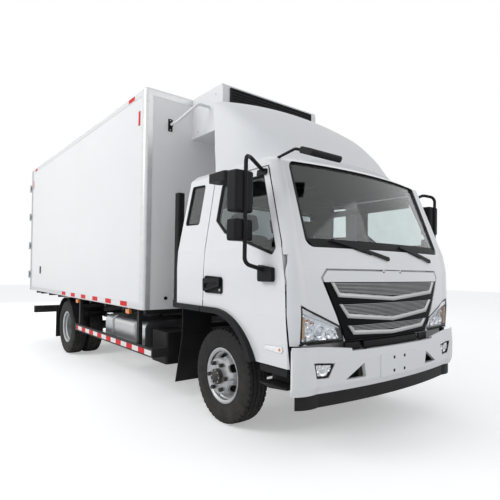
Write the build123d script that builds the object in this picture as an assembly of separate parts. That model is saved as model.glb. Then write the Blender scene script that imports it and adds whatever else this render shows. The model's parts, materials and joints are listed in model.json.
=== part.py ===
from build123d import *
import math
import os

# Refrigerated truck. Millimetres, X forward, Y to the truck's left, Z up.
# The origin lies on the ground under the middle of the overall length.

# Chassis and wheels
WHEELBASE = 3800
FRONT_OVERHANG = 1055
AXLE_TO_BOX = 1010
TYRE_RADIUS = 387.5
TYRE_WIDTH = 200
RIM_SEAT = 206
FRONT_WHEEL_Y = 820
REAR_TWIN_Y = 860
DISC_OFFSET = 115
KINGPIN_Y = 680
SPINDLE_RADIUS = 28
REAR_SPINDLE_RADIUS = 45
RUN_FIT = 0.05
RAIL_OUTER_Y = 400
RAIL_BOTTOM = 560
RAIL_TOP = 760
SPRING_Y = 365

# Insulated box
BOX_LENGTH = 4820
BOX_WIDTH = 2300
BOX_BOTTOM = 850
BOX_TOP = 3030
WALL = 80
FLOOR = 100
EDGE = 80
PANEL_SINK = 3
REAR_FRAME_DEPTH = 95
HINGE_BACK = 40
HINGE_OUT = 15
HINGE_BARREL = 10
REAR_DOOR_GAP = 8
REAR_DOOR = 80
DOOR_MEET = 10

# Cab
CAB_WALL = 50
DOOR_GAP = 9
DOOR_HOLE_DEPTH = 75
ROOF_SPLIT = 2000
BACK_SPLIT = -139
ARCH_X = 50
ARCH_Z = 420
ARCH_RADIUS = 530
ARCH_TOP = ARCH_Z + ARCH_RADIUS
CAB_FLOOR = 40
TUNNEL_HALF = 440
TUNNEL_FRONT = 800
FIREWALL_X = 892
FRONT_EDGE_Z = 758
TILT_X = 985
TILT_Z = 655
FLAP_HINGE_Z = 1256
PLATE_HOLE_Y = 135
PLATE_HOLE_Z = 98
PLATE_Z = 567

TOTAL_LENGTH = FRONT_OVERHANG + AXLE_TO_BOX + BOX_LENGTH + HINGE_BACK + HINGE_BARREL
FX = TOTAL_LENGTH / 2 - FRONT_OVERHANG
RX = FX - WHEELBASE
BOX_FRONT = FX - AXLE_TO_BOX
BOX_REAR = BOX_FRONT - BOX_LENGTH
BOX_HALF = BOX_WIDTH / 2


def block(x0, x1, y0, y1, z0, z1):
    """Rectangular block between two corners."""
    middle = Pos((x0 + x1) / 2, (y0 + y1) / 2, (z0 + z1) / 2)
    return middle * Box(x1 - x0, y1 - y0, z1 - z0)


def rounded(points, radius):
    """Closed planar face from 3-D points with one radius on every corner."""
    return make_face(FilletPolyline(*points, radius=radius, close=True))


def side_prism(outline, y0, y1, radius=0):
    """Solid with an XZ outline, between two Y values."""
    points = [(x, y0, z) for x, z in outline]
    face = rounded(points, radius) if radius else make_face(Polyline(*points, close=True))
    return extrude(face, amount=y1 - y0, dir=(0, 1, 0))


def front_prism(outline, x0, x1, radius=0):
    """Solid with a YZ outline, between two X values."""
    points = [(x0, y, z) for y, z in outline]
    face = rounded(points, radius) if radius else make_face(Polyline(*points, close=True))
    return extrude(face, amount=x1 - x0, dir=(1, 0, 0))


def plan_prism(outline, z0, z1, radius=0):
    """Solid with an XY outline, between two Z values."""
    points = [(x, y, z0) for x, y in outline]
    face = rounded(points, radius) if radius else make_face(Polyline(*points, close=True))
    return extrude(face, amount=z1 - z0, dir=(0, 0, 1))


def rod_y(x, z, y0, y1, radius):
    """Cylinder along Y."""
    return Pos(x, (y0 + y1) / 2, z) * Rot(90, 0, 0) * Cylinder(radius, abs(y1 - y0))


def rod_x(y, z, x0, x1, radius):
    """Cylinder along X."""
    return Pos((x0 + x1) / 2, y, z) * Rot(0, 90, 0) * Cylinder(radius, abs(x1 - x0))


def rod_z(x, y, z0, z1, radius):
    """Cylinder along Z."""
    return Pos(x, y, (z0 + z1) / 2) * Cylinder(radius, abs(z1 - z0))


def tube_path(points, bend, radius):
    """Round bar along a polyline with bent corners."""
    path = FilletPolyline(*points, radius=bend)
    start = path.edges()[0]
    plane = Plane(origin=start @ 0, z_dir=start % 0)
    return sweep(plane * Circle(radius), path=path)


def left(shape):
    """Copy on the truck's left of a shape made on its right."""
    return mirror(shape, about=Plane.XZ)


def pair(shape):
    """Right and left copies as one list of solids."""
    return solids_of(shape) + solids_of(left(shape))


def solids_of(*shapes):
    """Flat list of the solids in some shapes."""
    return [solid for shape in shapes for solid in shape.solids()]


def save(name, *shapes):
    """Write one node, one solid or several that stand apart."""
    solids = solids_of(*shapes)
    body = solids[0] if len(solids) == 1 else Compound(children=solids)
    export_step(body, os.path.join("parts", name + ".step"))


# Cab form: plan sections from the sill to the roof, X counted from the front axle
# height, rear, front, bulge, half width, corner depth, corner width
CAB_SECTIONS = [
    (600, -566, 978, 60, 990, 50, 150),
    (950, -570, 990, 62, 1014, 50, 150),
    (1262, -566, 984, 76, 1020, 46, 130),
    (1405, -560, 966, 88, 1016, 42, 120),
    (2036, -478, 742, 100, 936, 42, 92),
    (2075, -430, 690, 104, 900, 50, 110),
    (2100, -330, 600, 106, 820, 60, 130),
]


def cab_section(height, rear, front, bulge, half, corner_x, corner_y, inset):
    """Closed plan outline of the cab at one height, moved inwards by inset."""
    x_rear = FX + rear + inset
    x_front = FX + front - inset
    x_end = x_front - bulge
    side = half - inset
    x_side = x_end - corner_x
    y_end = half - corner_y - inset * 0.6
    x_mid = x_end - corner_x * 0.30
    y_mid = side - (side - y_end) * 0.26
    rear_right = (x_rear, -side, height)
    side_right = (x_side, -side, height)
    end_right = (x_end, -y_end, height)
    end_left = (x_end, y_end, height)
    side_left = (x_side, side, height)
    rear_left = (x_rear, side, height)
    edges = [
        Edge.make_line(rear_right, side_right),
        Edge.make_three_point_arc(side_right, (x_mid, -y_mid, height), end_right),
        Edge.make_three_point_arc(end_right, (x_front, 0, height), end_left),
        Edge.make_three_point_arc(end_left, (x_mid, y_mid, height), side_left),
        Edge.make_line(side_left, rear_left),
        Edge.make_line(rear_left, rear_right),
    ]
    return Face(Wire(edges))


def cab_form(inset, roof_inset=None):
    """Solid of the whole cab outside, moved inwards by inset."""
    drop = inset if roof_inset is None else roof_inset
    faces = []
    for number, row in enumerate(CAB_SECTIONS):
        height = row[0]
        if height > ROOF_SPLIT:
            height = height - drop
        if number == 0:
            height = height - 1 if inset > 0 else height
        faces.append(cab_section(height, *row[1:], inset))
    return loft(faces, ruled=True)


def under_outline(grow):
    """XZ outline of the space under the cab floor, grown upwards."""
    radius = ARCH_RADIUS + grow
    sill = CAB_SECTIONS[0][0] + grow
    x_sill = ARCH_X + math.sqrt(radius ** 2 - (sill - ARCH_Z) ** 2)
    angle = math.atan2(sill - ARCH_Z, x_sill - ARCH_X)
    turn = (math.pi / 2 + angle) / 2
    middle = (ARCH_X + radius * math.cos(turn), ARCH_Z + radius * math.sin(turn))
    return x_sill, sill, middle, ARCH_Z + radius


def under_cab(grow, y0, y1, x_front=None):
    """Solid of everything below the cab floor."""
    x_sill, sill, middle, top = under_outline(grow)
    start = (FX + x_sill, y0, sill)
    crown = (FX + ARCH_X, y0, top)
    edges = [
        Edge.make_three_point_arc(start, (FX + middle[0], y0, middle[1]), crown),
        Edge.make_line(crown, (FX - 800, y0, top)),
        Edge.make_line((FX - 800, y0, top), (FX - 800, y0, 200)),
    ]
    if x_front is None:
        edges.append(Edge.make_line((FX - 800, y0, 200), (FX + x_sill, y0, 200)))
        edges.append(Edge.make_line((FX + x_sill, y0, 200), start))
    else:
        edges.append(Edge.make_line((FX - 800, y0, 200), (FX + x_front, y0, 200)))
        edges.append(Edge.make_line((FX + x_front, y0, 200), (FX + x_front, y0, sill)))
        edges.append(Edge.make_line((FX + x_front, y0, sill), start))
    return extrude(Face(Wire(edges)), amount=y1 - y0, dir=(0, 1, 0))


# Door outline from the rear bottom corner, X counted from the front axle
DOOR_REAR_LOW = (-130, ARCH_TOP)
DOOR_REAR_HIGH = (-76, 1990)
DOOR_FRONT_HIGH = (592, 1990)
DOOR_FRONT_BELT = (820, 1430)
DOOR_FRONT_WAIST = (866, 1180)
DOOR_FRONT_LOW = (882, 606)
DOOR_WINDOW = [(30, 1936), (4, 1640), (145, 1532), (735, 1352), (772, 1400), (556, 1936)]
QUARTER_WINDOW = [(-438, 1985), (-222, 1975), (-252, 1630), (-486, 1636)]


def door_solid(grow, y0, y1):
    """Prism with the door outline, grown outwards by a gap."""
    outline = [
        (FX + DOOR_REAR_LOW[0] - grow, 560),
        (FX + DOOR_REAR_LOW[0] - grow, DOOR_REAR_LOW[1]),
        (FX + DOOR_REAR_HIGH[0] - grow, DOOR_REAR_HIGH[1] + grow),
        (FX + DOOR_FRONT_HIGH[0] + grow, DOOR_FRONT_HIGH[1] + grow),
        (FX + DOOR_FRONT_BELT[0] + grow, DOOR_FRONT_BELT[1]),
        (FX + DOOR_FRONT_WAIST[0] + grow, DOOR_FRONT_WAIST[1]),
        (FX + DOOR_FRONT_LOW[0] + grow, DOOR_FRONT_LOW[1] - grow),
        (FX + DOOR_FRONT_LOW[0] + grow, 560),
    ]
    return side_prism(outline, y0, y1)


def shifted(outline):
    """Outline with X counted from the front axle, as truck X."""
    return [(FX + x, z) for x, z in outline]


# Door hinges: a pin in the door's front edge on an arm that reaches in behind it
DOOR_AXIS_X = 850
DOOR_AXIS_Y = 1005
DOOR_INNER_Y = 950
DOOR_HINGES = [985, 1135]
PIN_RADIUS = 7
PIN_HALF = 34
ARM_HALF = 16

# Cab shell and the layers cut from it
outer = cab_form(0)
inner = cab_form(CAB_WALL)
gap_inner = cab_form(DOOR_HOLE_DEPTH)
below = under_cab(0, -1200, 1200)
below = below + block(FX - 800, FX + 620, -TUNNEL_HALF, TUNNEL_HALF, 200, ARCH_TOP)
below = below + block(FX + 600, FX + FIREWALL_X, -TUNNEL_HALF, TUNNEL_HALF, 200, TUNNEL_FRONT)
raised = under_cab(CAB_FLOOR, -1200, 1200, x_front=1000)
raised = raised + block(FX - 800, FX + 660, -TUNNEL_HALF - 40, TUNNEL_HALF + 40, 200, ARCH_TOP + CAB_FLOOR)
raised = raised + block(FX + 600, FX + 1000, -TUNNEL_HALF - 40, TUNNEL_HALF + 40, 200, TUNNEL_FRONT + 40)
raised = raised + block(FX + FIREWALL_X - 42, FX + 1000, -1200, 1200, 200, TUNNEL_FRONT)
room = inner - raised
shell = outer - room - below

door_hole = door_solid(DOOR_GAP, -1200, -866)
door_hole_cut = door_hole - gap_inner
door_full = (door_solid(0, -1200, -872) & (outer - inner)) - under_cab(0, -1200, 0)
door_full = door_full - block(FX - 200, FX + 1000, -1200, 0, 500, DOOR_FRONT_LOW[1])
door_full = door_full - block(FX + 760, FX + 1000, -DOOR_INNER_Y, 0, 500, 1352)
door_full = max(door_full.solids(), key=lambda solid: solid.volume)
window = side_prism(shifted(DOOR_WINDOW), -1200, -600, radius=22)
quarter = side_prism(shifted(QUARTER_WINDOW), -1200, -600, radius=28)
SCREEN = [(-842, 1412), (842, 1412), (806, 2046), (-806, 2046)]
screen = front_prism(SCREEN, FX + 300, FX + 1100, radius=60)
REAR_GLASS = [(-620, 1450), (620, 1450), (620, 1880), (-620, 1880)]
rear_glass = front_prism(REAR_GLASS, FX - 700, FX - 300, radius=60)

pane_outer = cab_form(14)
pane_inner = cab_form(19)
pane = pane_outer - pane_inner

FLAP = [(690, FLAP_HINGE_Z - 2), (730, 1205), (516, 772), (-516, 772), (-730, 1205), (-690, FLAP_HINGE_Z - 2)]
FLAP_HOLE = [(702, FLAP_HINGE_Z + 12), (750, 1206), (528, 764), (-528, 764), (-750, 1206), (-702, FLAP_HINGE_Z + 12)]
GRILLE_TOP = 1176
flap_layer = outer - cab_form(34, roof_inset=0)
hole_layer = outer - cab_form(40, roof_inset=0)
flap_all = flap_layer & front_prism(FLAP, FX + 700, FX + 1100)
flap_hole = hole_layer & front_prism(FLAP_HOLE, FX + 700, FX + 1100)

LAMP = [(-536, 768), (-575, 872), (-930, 1026), (-930, 768)]
LAMP_HOLE = [(-535.7, 767.7), (-574.6, 872.3), (-930.3, 1026.5), (-930.3, 767.7)]
lamp = flap_layer & front_prism(LAMP, FX + 889, FX + 1100)
lamp_hole = hole_layer & front_prism(LAMP_HOLE, FX + 888.7, FX + 1100)

skin = shell - door_hole_cut - left(door_hole_cut) - screen - rear_glass
skin = skin - quarter - left(quarter) - flap_hole - lamp_hole - left(lamp_hole)
skin = skin - block(FX + FIREWALL_X, FX + 1100, -1100, 1100, 590, FRONT_EDGE_Z)
roof_zone = block(FX - 700, FX + 1000, -1100, 1100, ROOF_SPLIT, 2200)
back_zone = block(FX - 700, FX + BACK_SPLIT, -1100, 1100, 600, ROOF_SPLIT)
floor_zone = block(FX + BACK_SPLIT, FX + 800, -1100, 1100, 500, 1000)
cab_roof = skin & roof_zone
cab_back = skin & back_zone
cab_floor = skin & floor_zone
cab_front = skin - roof_zone - back_zone - floor_zone
corner_strip = block(FX + 884, FX + 1100, -1100, -880, 590, FRONT_EDGE_Z)
cab_front = cab_front - corner_strip - left(corner_strip)


# Doors, glass and front lid
door_panel = door_full - window
scallop = rod_z(FX + DOOR_AXIS_X, -DOOR_AXIS_Y, 1150, 1354, 21)
cab_front = cab_front - scallop - left(scallop)
for z in DOOR_HINGES:
    axis_x = FX + DOOR_AXIS_X
    slot = block(axis_x - 16, axis_x + 60, -DOOR_AXIS_Y - 9, -880, z - ARM_HALF - 4, z + ARM_HALF + 4)
    bore = rod_z(axis_x, -DOOR_AXIS_Y, z - PIN_HALF - 1, z + PIN_HALF + 1, PIN_RADIUS + RUN_FIT)
    door_panel = door_panel - slot - bore
    arm = rod_z(axis_x, -DOOR_AXIS_Y, z - PIN_HALF, z + PIN_HALF, PIN_RADIUS)
    arm = arm + block(axis_x - 7, axis_x + 7, -DOOR_AXIS_Y, -930, z - ARM_HALF, z + ARM_HALF)
    arm = arm + block(axis_x - 7, axis_x + 46, -944, -930, z - ARM_HALF, z + ARM_HALF)
    cab_front = cab_front + arm + left(arm)
door_glass = pane & side_prism(shifted(DOOR_WINDOW), -1200, -600, radius=22)
quarter_pane = pane & quarter
screen_pane = pane & screen
rear_pane = pane & rear_glass
front_flap = flap_all & block(FX + 700, FX + 1100, -1100, 1100, GRILLE_TOP, 1400)
grille = flap_all - block(FX + 700, FX + 1100, -1100, 1100, GRILLE_TOP, 1400)

# Lid hinge: a barrel on the lid between two ears on the cab
LID_PIN_X = 978
LID_PIN_HALF = 100
front_flap = front_flap + rod_y(FX + LID_PIN_X, FLAP_HINGE_Z, -LID_PIN_HALF, LID_PIN_HALF, 5)
front_flap = front_flap - rod_y(FX + LID_PIN_X, FLAP_HINGE_Z, -LID_PIN_HALF - 5, LID_PIN_HALF + 5, 2.5 + RUN_FIT)
for side in (-1, 1):
    y_ear = sorted((side * (LID_PIN_HALF + 0.3), side * (LID_PIN_HALF + 16)))
    cab_front = cab_front + block(FX + 968, FX + 982, y_ear[0], y_ear[1], FLAP_HINGE_Z - 4, FLAP_HINGE_Z + 16)
    front_flap = front_flap - block(FX + 900, FX + 1000, y_ear[0] - 6, y_ear[1] + 6, FLAP_HINGE_Z - 14, FLAP_HINGE_Z + 16)
cab_front = cab_front + rod_y(FX + LID_PIN_X, FLAP_HINGE_Z, -LID_PIN_HALF - 10, LID_PIN_HALF + 10, 2.5)

# Grille sections: top, half width at top, half width at bottom, side bottom, middle bottom
GRILLE_BAYS = [
    (1160, 640, 570, 1072, 1036),
    (1020, 565, 480, 926, 884),
    (868, 480, 420, 806, 790),
]
BAY_STEP = 24
BAY_BAR = 9
groove_layer = outer - cab_form(20, roof_inset=0)
for top, half_top, half_low, side_low, mid_low in GRILLE_BAYS:
    bay = [(-half_top, top), (half_top, top), (half_low, side_low), (0, mid_low), (-half_low, side_low)]
    hollow = front_prism(bay, FX + 700, FX + 1100)
    level = top
    slots = []
    while level - BAY_STEP > mid_low - BAY_STEP:
        slots.append(block(FX + 700, FX + 1100, -700, 700, level - BAY_STEP + BAY_BAR, level))
        level = level - BAY_STEP
    grille = grille - (groove_layer & hollow & (slots[0] + slots[1:]))

# Black wheel-arch edge on door and rear quarter
FLARE_DEPTH = 44
FLARE_IN = 950
FLARE_OUT = 1042
flare = under_cab(-0.3, -FLARE_OUT, -FLARE_IN) - under_cab(-FLARE_DEPTH, -1200, -800)
flare = flare - block(FX - 900, FX + 900, -1200, 0, 190, 605) - block(FX - 900, FX - 566, -1200, 0, 190, 1000)
door_flare = flare - block(FX - 900, FX + DOOR_REAR_LOW[0], -1200, 0, 200, 1200)
cab_flare = flare & block(FX - 900, FX + DOOR_REAR_LOW[0] - DOOR_GAP, -1200, 0, 200, 1200)

HANDLE = [(-96, 1072), (-96, 1180), (140, 1190), (140, 1120)]
HANDLE_DISH = [(-70, 1098), (-70, 1140), (110, 1152), (110, 1126)]
handle = cab_form(-26, roof_inset=0) - cab_form(-0.3, roof_inset=0)
handle = handle & side_prism(shifted(HANDLE), -1200, -900, radius=16)
handle = handle - side_prism(shifted(HANDLE_DISH), -1200, -1032, radius=10)

# Door mirror: arm path, foot and heads, X counted from the front axle
MIRROR_X = 600
MIRROR_Y = 1193
ARM_RADIUS = 14
ARM_X = MIRROR_X + 62
arm = tube_path(
    [
        (FX + 540, -925, 1952),
        (FX + 590, -1100, 2026),
        (FX + ARM_X, -MIRROR_Y, 2006),
        (FX + ARM_X, -MIRROR_Y, 1292),
        (FX + 676, -1012, 1244),
    ],
    55,
    ARM_RADIUS,
)
LOWER_FOOT = [(622, 1172), (622, 1288), (768, 1268), (768, 1172)]
UPPER_FOOT = [(490, 1930), (490, 1974), (590, 1974), (590, 1930)]
lower_foot = cab_form(-34, roof_inset=0) & side_prism(shifted(LOWER_FOOT), -1200, -900, radius=16)
upper_foot = cab_form(-16, roof_inset=0) & side_prism(shifted(UPPER_FOOT), -1200, -850, radius=10)
arm = (arm + lower_foot + upper_foot) - cab_form(-0.3, roof_inset=0)
arm = max(arm.solids(), key=lambda solid: solid.volume)
# Heads: bottom, top, half width, depth
MIRROR_HEADS = [(1634, 1912, 94, 96), (1442, 1588, 96, 90)]
for low, high, half, deep in MIRROR_HEADS:
    rear = FX + MIRROR_X - deep * 0.4
    front = FX + MIRROR_X + deep * 0.6
    y_out = MIRROR_Y + half
    y_in = MIRROR_Y - half
    slope = half * 0.22
    plan = [(rear, -y_out), (rear, -y_in), (front, -y_in - slope), (front, -y_out + slope)]
    head = plan_prism(plan, low, high, radius=24)
    head = fillet(head.edges().group_by(Axis.Z)[0] + head.edges().group_by(Axis.Z)[-1], 16)
    arm = arm + head

# Small mirrors on the right only: kerb mirror over the door, look-down mirror at the screen
kerb = Pos(FX + 250, -1095, 1936) * Box(230, 120, 66)
kerb = fillet(kerb.edges().filter_by(Axis.Z), 28)
kerb = kerb + rod_y(FX + 250, 1955, -948, -1060, 9)
look_down = Pos(FX + 905, -735, 2045) * Rot(0, 20, 0) * Box(120, 300, 46)
look_down = fillet(look_down.edges().filter_by(Axis.Y), 18)
look_down = look_down + tube_path(
    [(FX + 900, -800, 2050), (FX + 790, -870, 2085), (FX + 560, -850, 2060)], 40, 10
)
look_down = look_down - outer

# Roof fairing: stations from rear to front
# X from the axle, half width at the roof, half width at the shoulder, shoulder height, crown height
FAIRING = [
    (-330, 945, 888, 2704, 2846),
    (-60, 935, 870, 2604, 2728),
    (230, 880, 792, 2378, 2492),
    (430, 800, 660, 2216, 2302),
    (585, 690, 520, 2100, 2150),
]


def fairing_form(inset, tail, base):
    """Fairing outside moved inwards, with its open tail and base moved out."""
    faces = []
    for number, (x, half, shoulder, z_side, z_top) in enumerate(FAIRING):
        x_here = FX + x - (tail if number == 0 else 0) - (inset if number == len(FAIRING) - 1 else 0)
        foot_y = half - inset
        top_y = shoulder - inset
        z_low = 2020 - base
        z_shoulder = z_side - inset
        z_crown = z_top - inset
        z_mid = z_shoulder + (z_crown - z_shoulder) * 0.55
        y_mid = top_y * 0.80
        edges = [
            Edge.make_line((x_here, -foot_y, z_low), (x_here, -top_y, z_shoulder)),
            Edge.make_three_point_arc(
                (x_here, -top_y, z_shoulder),
                (x_here, -top_y * 0.94, z_shoulder + (z_mid - z_shoulder) * 0.75),
                (x_here, -y_mid, z_mid),
            ),
            Edge.make_three_point_arc((x_here, -y_mid, z_mid), (x_here, 0, z_crown), (x_here, y_mid, z_mid)),
            Edge.make_three_point_arc(
                (x_here, y_mid, z_mid),
                (x_here, top_y * 0.94, z_shoulder + (z_mid - z_shoulder) * 0.75),
                (x_here, top_y, z_shoulder),
            ),
            Edge.make_line((x_here, top_y, z_shoulder), (x_here, foot_y, z_low)),
            Edge.make_line((x_here, foot_y, z_low), (x_here, -foot_y, z_low)),
        ]
        faces.append(Face(Wire(edges)))
    return loft(faces, ruled=True)


fairing = fairing_form(0, 0, 0) - fairing_form(14, 40, 60) - outer
tail_cut = side_prism(shifted([(-60, 1900), (-262, 2900), (-900, 2900), (-900, 1900)]), -1200, 1200)
fairing = fairing - tail_cut

# Wipers
WIPERS = [(-60, -620, 1470), (600, 130, 1452)]
screen_layer = cab_form(-16, roof_inset=0) - cab_form(-5, roof_inset=0)
wiper_solids = []
for pivot_y, tip_y, tip_z in WIPERS:
    dy = tip_y - pivot_y
    dz = tip_z - 1350
    size = math.hypot(dy, dz)
    ny = -dz / size * 9
    nz = dy / size * 9
    arm_face = [
        (pivot_y + ny * 1.6, 1350 + nz * 1.6),
        (tip_y + ny, tip_z + nz),
        (tip_y - ny, tip_z - nz),
        (pivot_y - ny * 1.6, 1350 - nz * 1.6),
    ]
    sweep_bar = screen_layer & front_prism(arm_face, FX + 600, FX + 1100)
    foot = (cab_form(-16, roof_inset=0) - cab_form(-0.4, roof_inset=0)) & rod_x(pivot_y, 1350, FX + 700, FX + 1100, 17)
    wiper_solids += solids_of(sweep_bar + foot)

# Steps under the doors
STEP = [(598, 470), (598, 599.7), (876, 599.7), (876, 470), (700, 452)]
step = side_prism(shifted(STEP), -996, -690)
step = step - block(FX + 560, FX + 900, -1100, -880, 480, 556)

# Cab inside
seats = []
for seat_y, width in ((430, 500), (-430, 500), (0, 330)):
    cushion = block(FX - 220, FX + 300, seat_y - width / 2, seat_y + width / 2, 1060, 1190)
    cushion = fillet(cushion.edges(), 30)
    back_outline = [(-260, 1150), (-400, 1780), (-320, 1790), (-130, 1192), (-200, 1120)]
    back = side_prism(shifted(back_outline), seat_y - width / 2, seat_y + width / 2, radius=25)
    base = block(FX - 160, FX + 220, seat_y - width / 2 + 60, seat_y + width / 2 - 60, ARCH_TOP + CAB_FLOOR, 1070)
    seats.append(cushion + back + base)
DASH_HALF = 915
DASH = [(540, 1050), (560, 1220), (620, 1330), (860, 1390), (905, 1330), (905, 1050), (760, 1000)]
dash = side_prism(shifted(DASH), -DASH_HALF, DASH_HALF, radius=25) & cab_form(CAB_WALL + 0.3)
dash = dash + side_prism(shifted([(470, 1060), (470, 1120), (600, 1160), (600, 1050)]), 330, 520)
dash = dash & cab_form(CAB_WALL + 0.3)
STEER_AT = (FX + 440, 430, 1345)
STEER_TILT = -42
wheel_ring = Torus(205, 15)
wheel_hub = Pos(0, 0, -20) * Cylinder(55, 40)
spoke = Box(410, 34, 14) + Pos(0, -100, 0) * Box(34, 200, 14)
column = Pos(0, 0, -145) * Cylinder(30, 250)
steering_wheel = Pos(*STEER_AT) * Rot(0, STEER_TILT, 0) * (wheel_ring + wheel_hub + spoke + column)
steering_wheel = steering_wheel - dash

# Wheels, made round local Z with Z outwards
BARREL = [
    (225, -82), (225, -73), (206, -70), (203, -42), (186, -32), (186, 32), (203, 42), (206, 70), (225, 73),
    (225, 82), (214, 82), (197, 74), (194, 46), (177, 36), (177, -36), (194, -46), (197, -74), (214, -82),
]
DISC = [(178, 18), (178, 34), (160, 86), (140, DISC_OFFSET), (60, DISC_OFFSET), (60, 104), (136, 104), (150, 80)]
STUD_COUNT = 6
STUD_CIRCLE = 111
VENT_CIRCLE = 161


def turned(profile):
    """Ring turned round Z from radius and height pairs."""
    face = make_face(Polyline(*[(r, 0, z) for r, z in profile], close=True))
    return revolve(face, Axis.Z)


def ring(outer_radius, inner_radius, z0, z1):
    """Plain tube round Z."""
    return rod_z(0, 0, z0, z1, outer_radius) - rod_z(0, 0, z0 - 1, z1 + 1, inner_radius)


def steel_wheel():
    """Pressed wheel with six vents, dish towards plus Z."""
    disc = turned(DISC)
    for number in range(STUD_COUNT):
        angle = math.radians(360 / STUD_COUNT * (number + 0.5))
        vent = Pos(VENT_CIRCLE * math.cos(angle), VENT_CIRCLE * math.sin(angle), 60)
        slot = extrude(SlotOverall(70, 30), amount=80, both=True)
        disc = disc - vent * Rot(0, 0, math.degrees(angle) + 90) * slot
    return turned(BARREL) + disc


def nuts(z0, z1):
    """Wheel nuts on the stud circle."""
    found = []
    for number in range(STUD_COUNT):
        angle = math.radians(360 / STUD_COUNT * number)
        found.append(
            Pos(STUD_CIRCLE * math.cos(angle), STUD_CIRCLE * math.sin(angle), (z0 + z1) / 2)
            * extrude(RegularPolygon(17, 6), amount=(z1 - z0) / 2, both=True)
        )
    return found


rim = steel_wheel()
front_hub = rod_z(0, 0, -40, 150, 62) + rod_z(0, 0, 90, DISC_OFFSET, 100)
front_drum = ring(164, 150, -86, 30) + ring(164, 40, 18, 30)
front_wheel = rim + front_hub + front_drum + nuts(DISC_OFFSET - 2, 146)
front_wheel = front_wheel - rod_z(0, 0, -200, 112, SPINDLE_RADIUS + RUN_FIT)
flipped = Rot(180, 0, 0) * rim
rear_hub = rod_z(0, 0, -60, 130, 70) + rod_z(0, 0, -12, 12, 140)
rear_drum = ring(164, 150, -190, -30) + ring(164, 60, -42, -30)
rear_wheel = Pos(0, 0, DISC_OFFSET) * flipped + Pos(0, 0, -DISC_OFFSET) * rim + rear_hub + rear_drum
rear_wheel = rear_wheel + nuts(8, 44)
rear_wheel = rear_wheel - rod_z(0, 0, -300, 100, REAR_SPINDLE_RADIUS + RUN_FIT)

half_width = TYRE_WIDTH / 2
tyre_edges = [
    Edge.make_line((RIM_SEAT + 0.3, 0, -69.6), (RIM_SEAT + 0.3, 0, 69.6)),
    Edge.make_line((RIM_SEAT + 0.3, 0, 69.6), (225.4, 0, 72.6)),
    Edge.make_line((225.4, 0, 72.6), (227, 0, 86)),
    Edge.make_three_point_arc((227, 0, 86), (295, 0, half_width), (362, 0, 91)),
    Edge.make_three_point_arc((362, 0, 91), (377, 0, 86), (382, 0, 74)),
    Edge.make_three_point_arc((382, 0, 74), (TYRE_RADIUS, 0, 0), (382, 0, -74)),
    Edge.make_three_point_arc((382, 0, -74), (377, 0, -86), (362, 0, -91)),
    Edge.make_three_point_arc((362, 0, -91), (295, 0, -half_width), (227, 0, -86)),
    Edge.make_line((227, 0, -86), (225.4, 0, -72.6)),
    Edge.make_line((225.4, 0, -72.6), (RIM_SEAT + 0.3, 0, -69.6)),
]
tyre = revolve(Face(Wire(tyre_edges)), Axis.Z)


def right_wheel(x, y):
    """Place of a right-hand wheel, local Z turned outwards."""
    return Pos(x, -y, TYRE_RADIUS) * Rot(90, 0, 0)


front_place = right_wheel(FX, FRONT_WHEEL_Y)
rear_place = right_wheel(RX, REAR_TWIN_Y)
front_wheel = front_place * front_wheel
front_tyre = front_place * tyre
rear_wheel = rear_place * rear_wheel
rear_tyres = [rear_place * Pos(0, 0, side * DISC_OFFSET) * tyre for side in (1, -1)]

# Front axle, knuckles and track rod
ARM_BACK = 170
ROD_Z = 292
knuckle = rod_z(FX, -KINGPIN_Y, 288, 484, 18)
knuckle = knuckle + rod_z(FX, -KINGPIN_Y, 440, 484, 42) + rod_z(FX, -KINGPIN_Y, 288, 334, 42)
knuckle = knuckle + block(FX - 42, FX + 42, -KINGPIN_Y - 75, -KINGPIN_Y - 48, 288, 484)
knuckle = knuckle + block(FX - 40, FX + 40, -KINGPIN_Y - 75, -KINGPIN_Y, 440, 484)
knuckle = knuckle + block(FX - 40, FX + 40, -KINGPIN_Y - 75, -KINGPIN_Y, 288, 334)
knuckle = knuckle + rod_y(FX, TYRE_RADIUS, -KINGPIN_Y - 60, -930, SPINDLE_RADIUS)
knuckle = knuckle + block(FX - ARM_BACK, FX - 20, -KINGPIN_Y - 15, -KINGPIN_Y + 15, 310, 334)
knuckle = knuckle + rod_z(FX - ARM_BACK, -KINGPIN_Y, 310, 334, 26) + rod_z(FX - ARM_BACK, -KINGPIN_Y, 274, 320, 11)
track_rod = rod_y(FX - ARM_BACK, ROD_Z, -KINGPIN_Y, KINGPIN_Y, 14)
for y in (-KINGPIN_Y, KINGPIN_Y):
    track_rod = track_rod + rod_z(FX - ARM_BACK, y, ROD_Z - 16, ROD_Z + 14, 24)
    track_rod = track_rod - rod_z(FX - ARM_BACK, y, ROD_Z - 30, ROD_Z + 30, 11 + RUN_FIT)

BEAM = [(-48, 322), (48, 322), (48, 336), (14, 342), (14, 388), (48, 394), (48, 408), (-48, 408), (-48, 394)]
BEAM = BEAM + [(-14, 388), (-14, 342), (-48, 336)]
front_axle = side_prism(shifted(BEAM), -KINGPIN_Y + 60, KINGPIN_Y - 60)
for side in (-1, 1):
    neck = sorted((side * (KINGPIN_Y - 70), side * (KINGPIN_Y - 20)))
    front_axle = front_axle + block(FX - 30, FX + 30, neck[0], neck[1], 345, 430)
    front_axle = front_axle + rod_z(FX, side * KINGPIN_Y, 340, 435, 40)
    front_axle = front_axle - rod_z(FX, side * KINGPIN_Y, 300, 500, 18 + RUN_FIT)
    pad = block(FX - 70, FX + 70, side * SPRING_Y - 42, side * SPRING_Y + 42, 400, 422)
    front_axle = front_axle + pad
rear_axle = rod_y(RX, TYRE_RADIUS, -660, 660, 62) + rod_y(RX, TYRE_RADIUS, -948, 948, REAR_SPINDLE_RADIUS)
ball = Pos(RX, 0, TYRE_RADIUS) * Rot(90, 0, 0) * extrude(Circle(160), amount=70, both=True)
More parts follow.
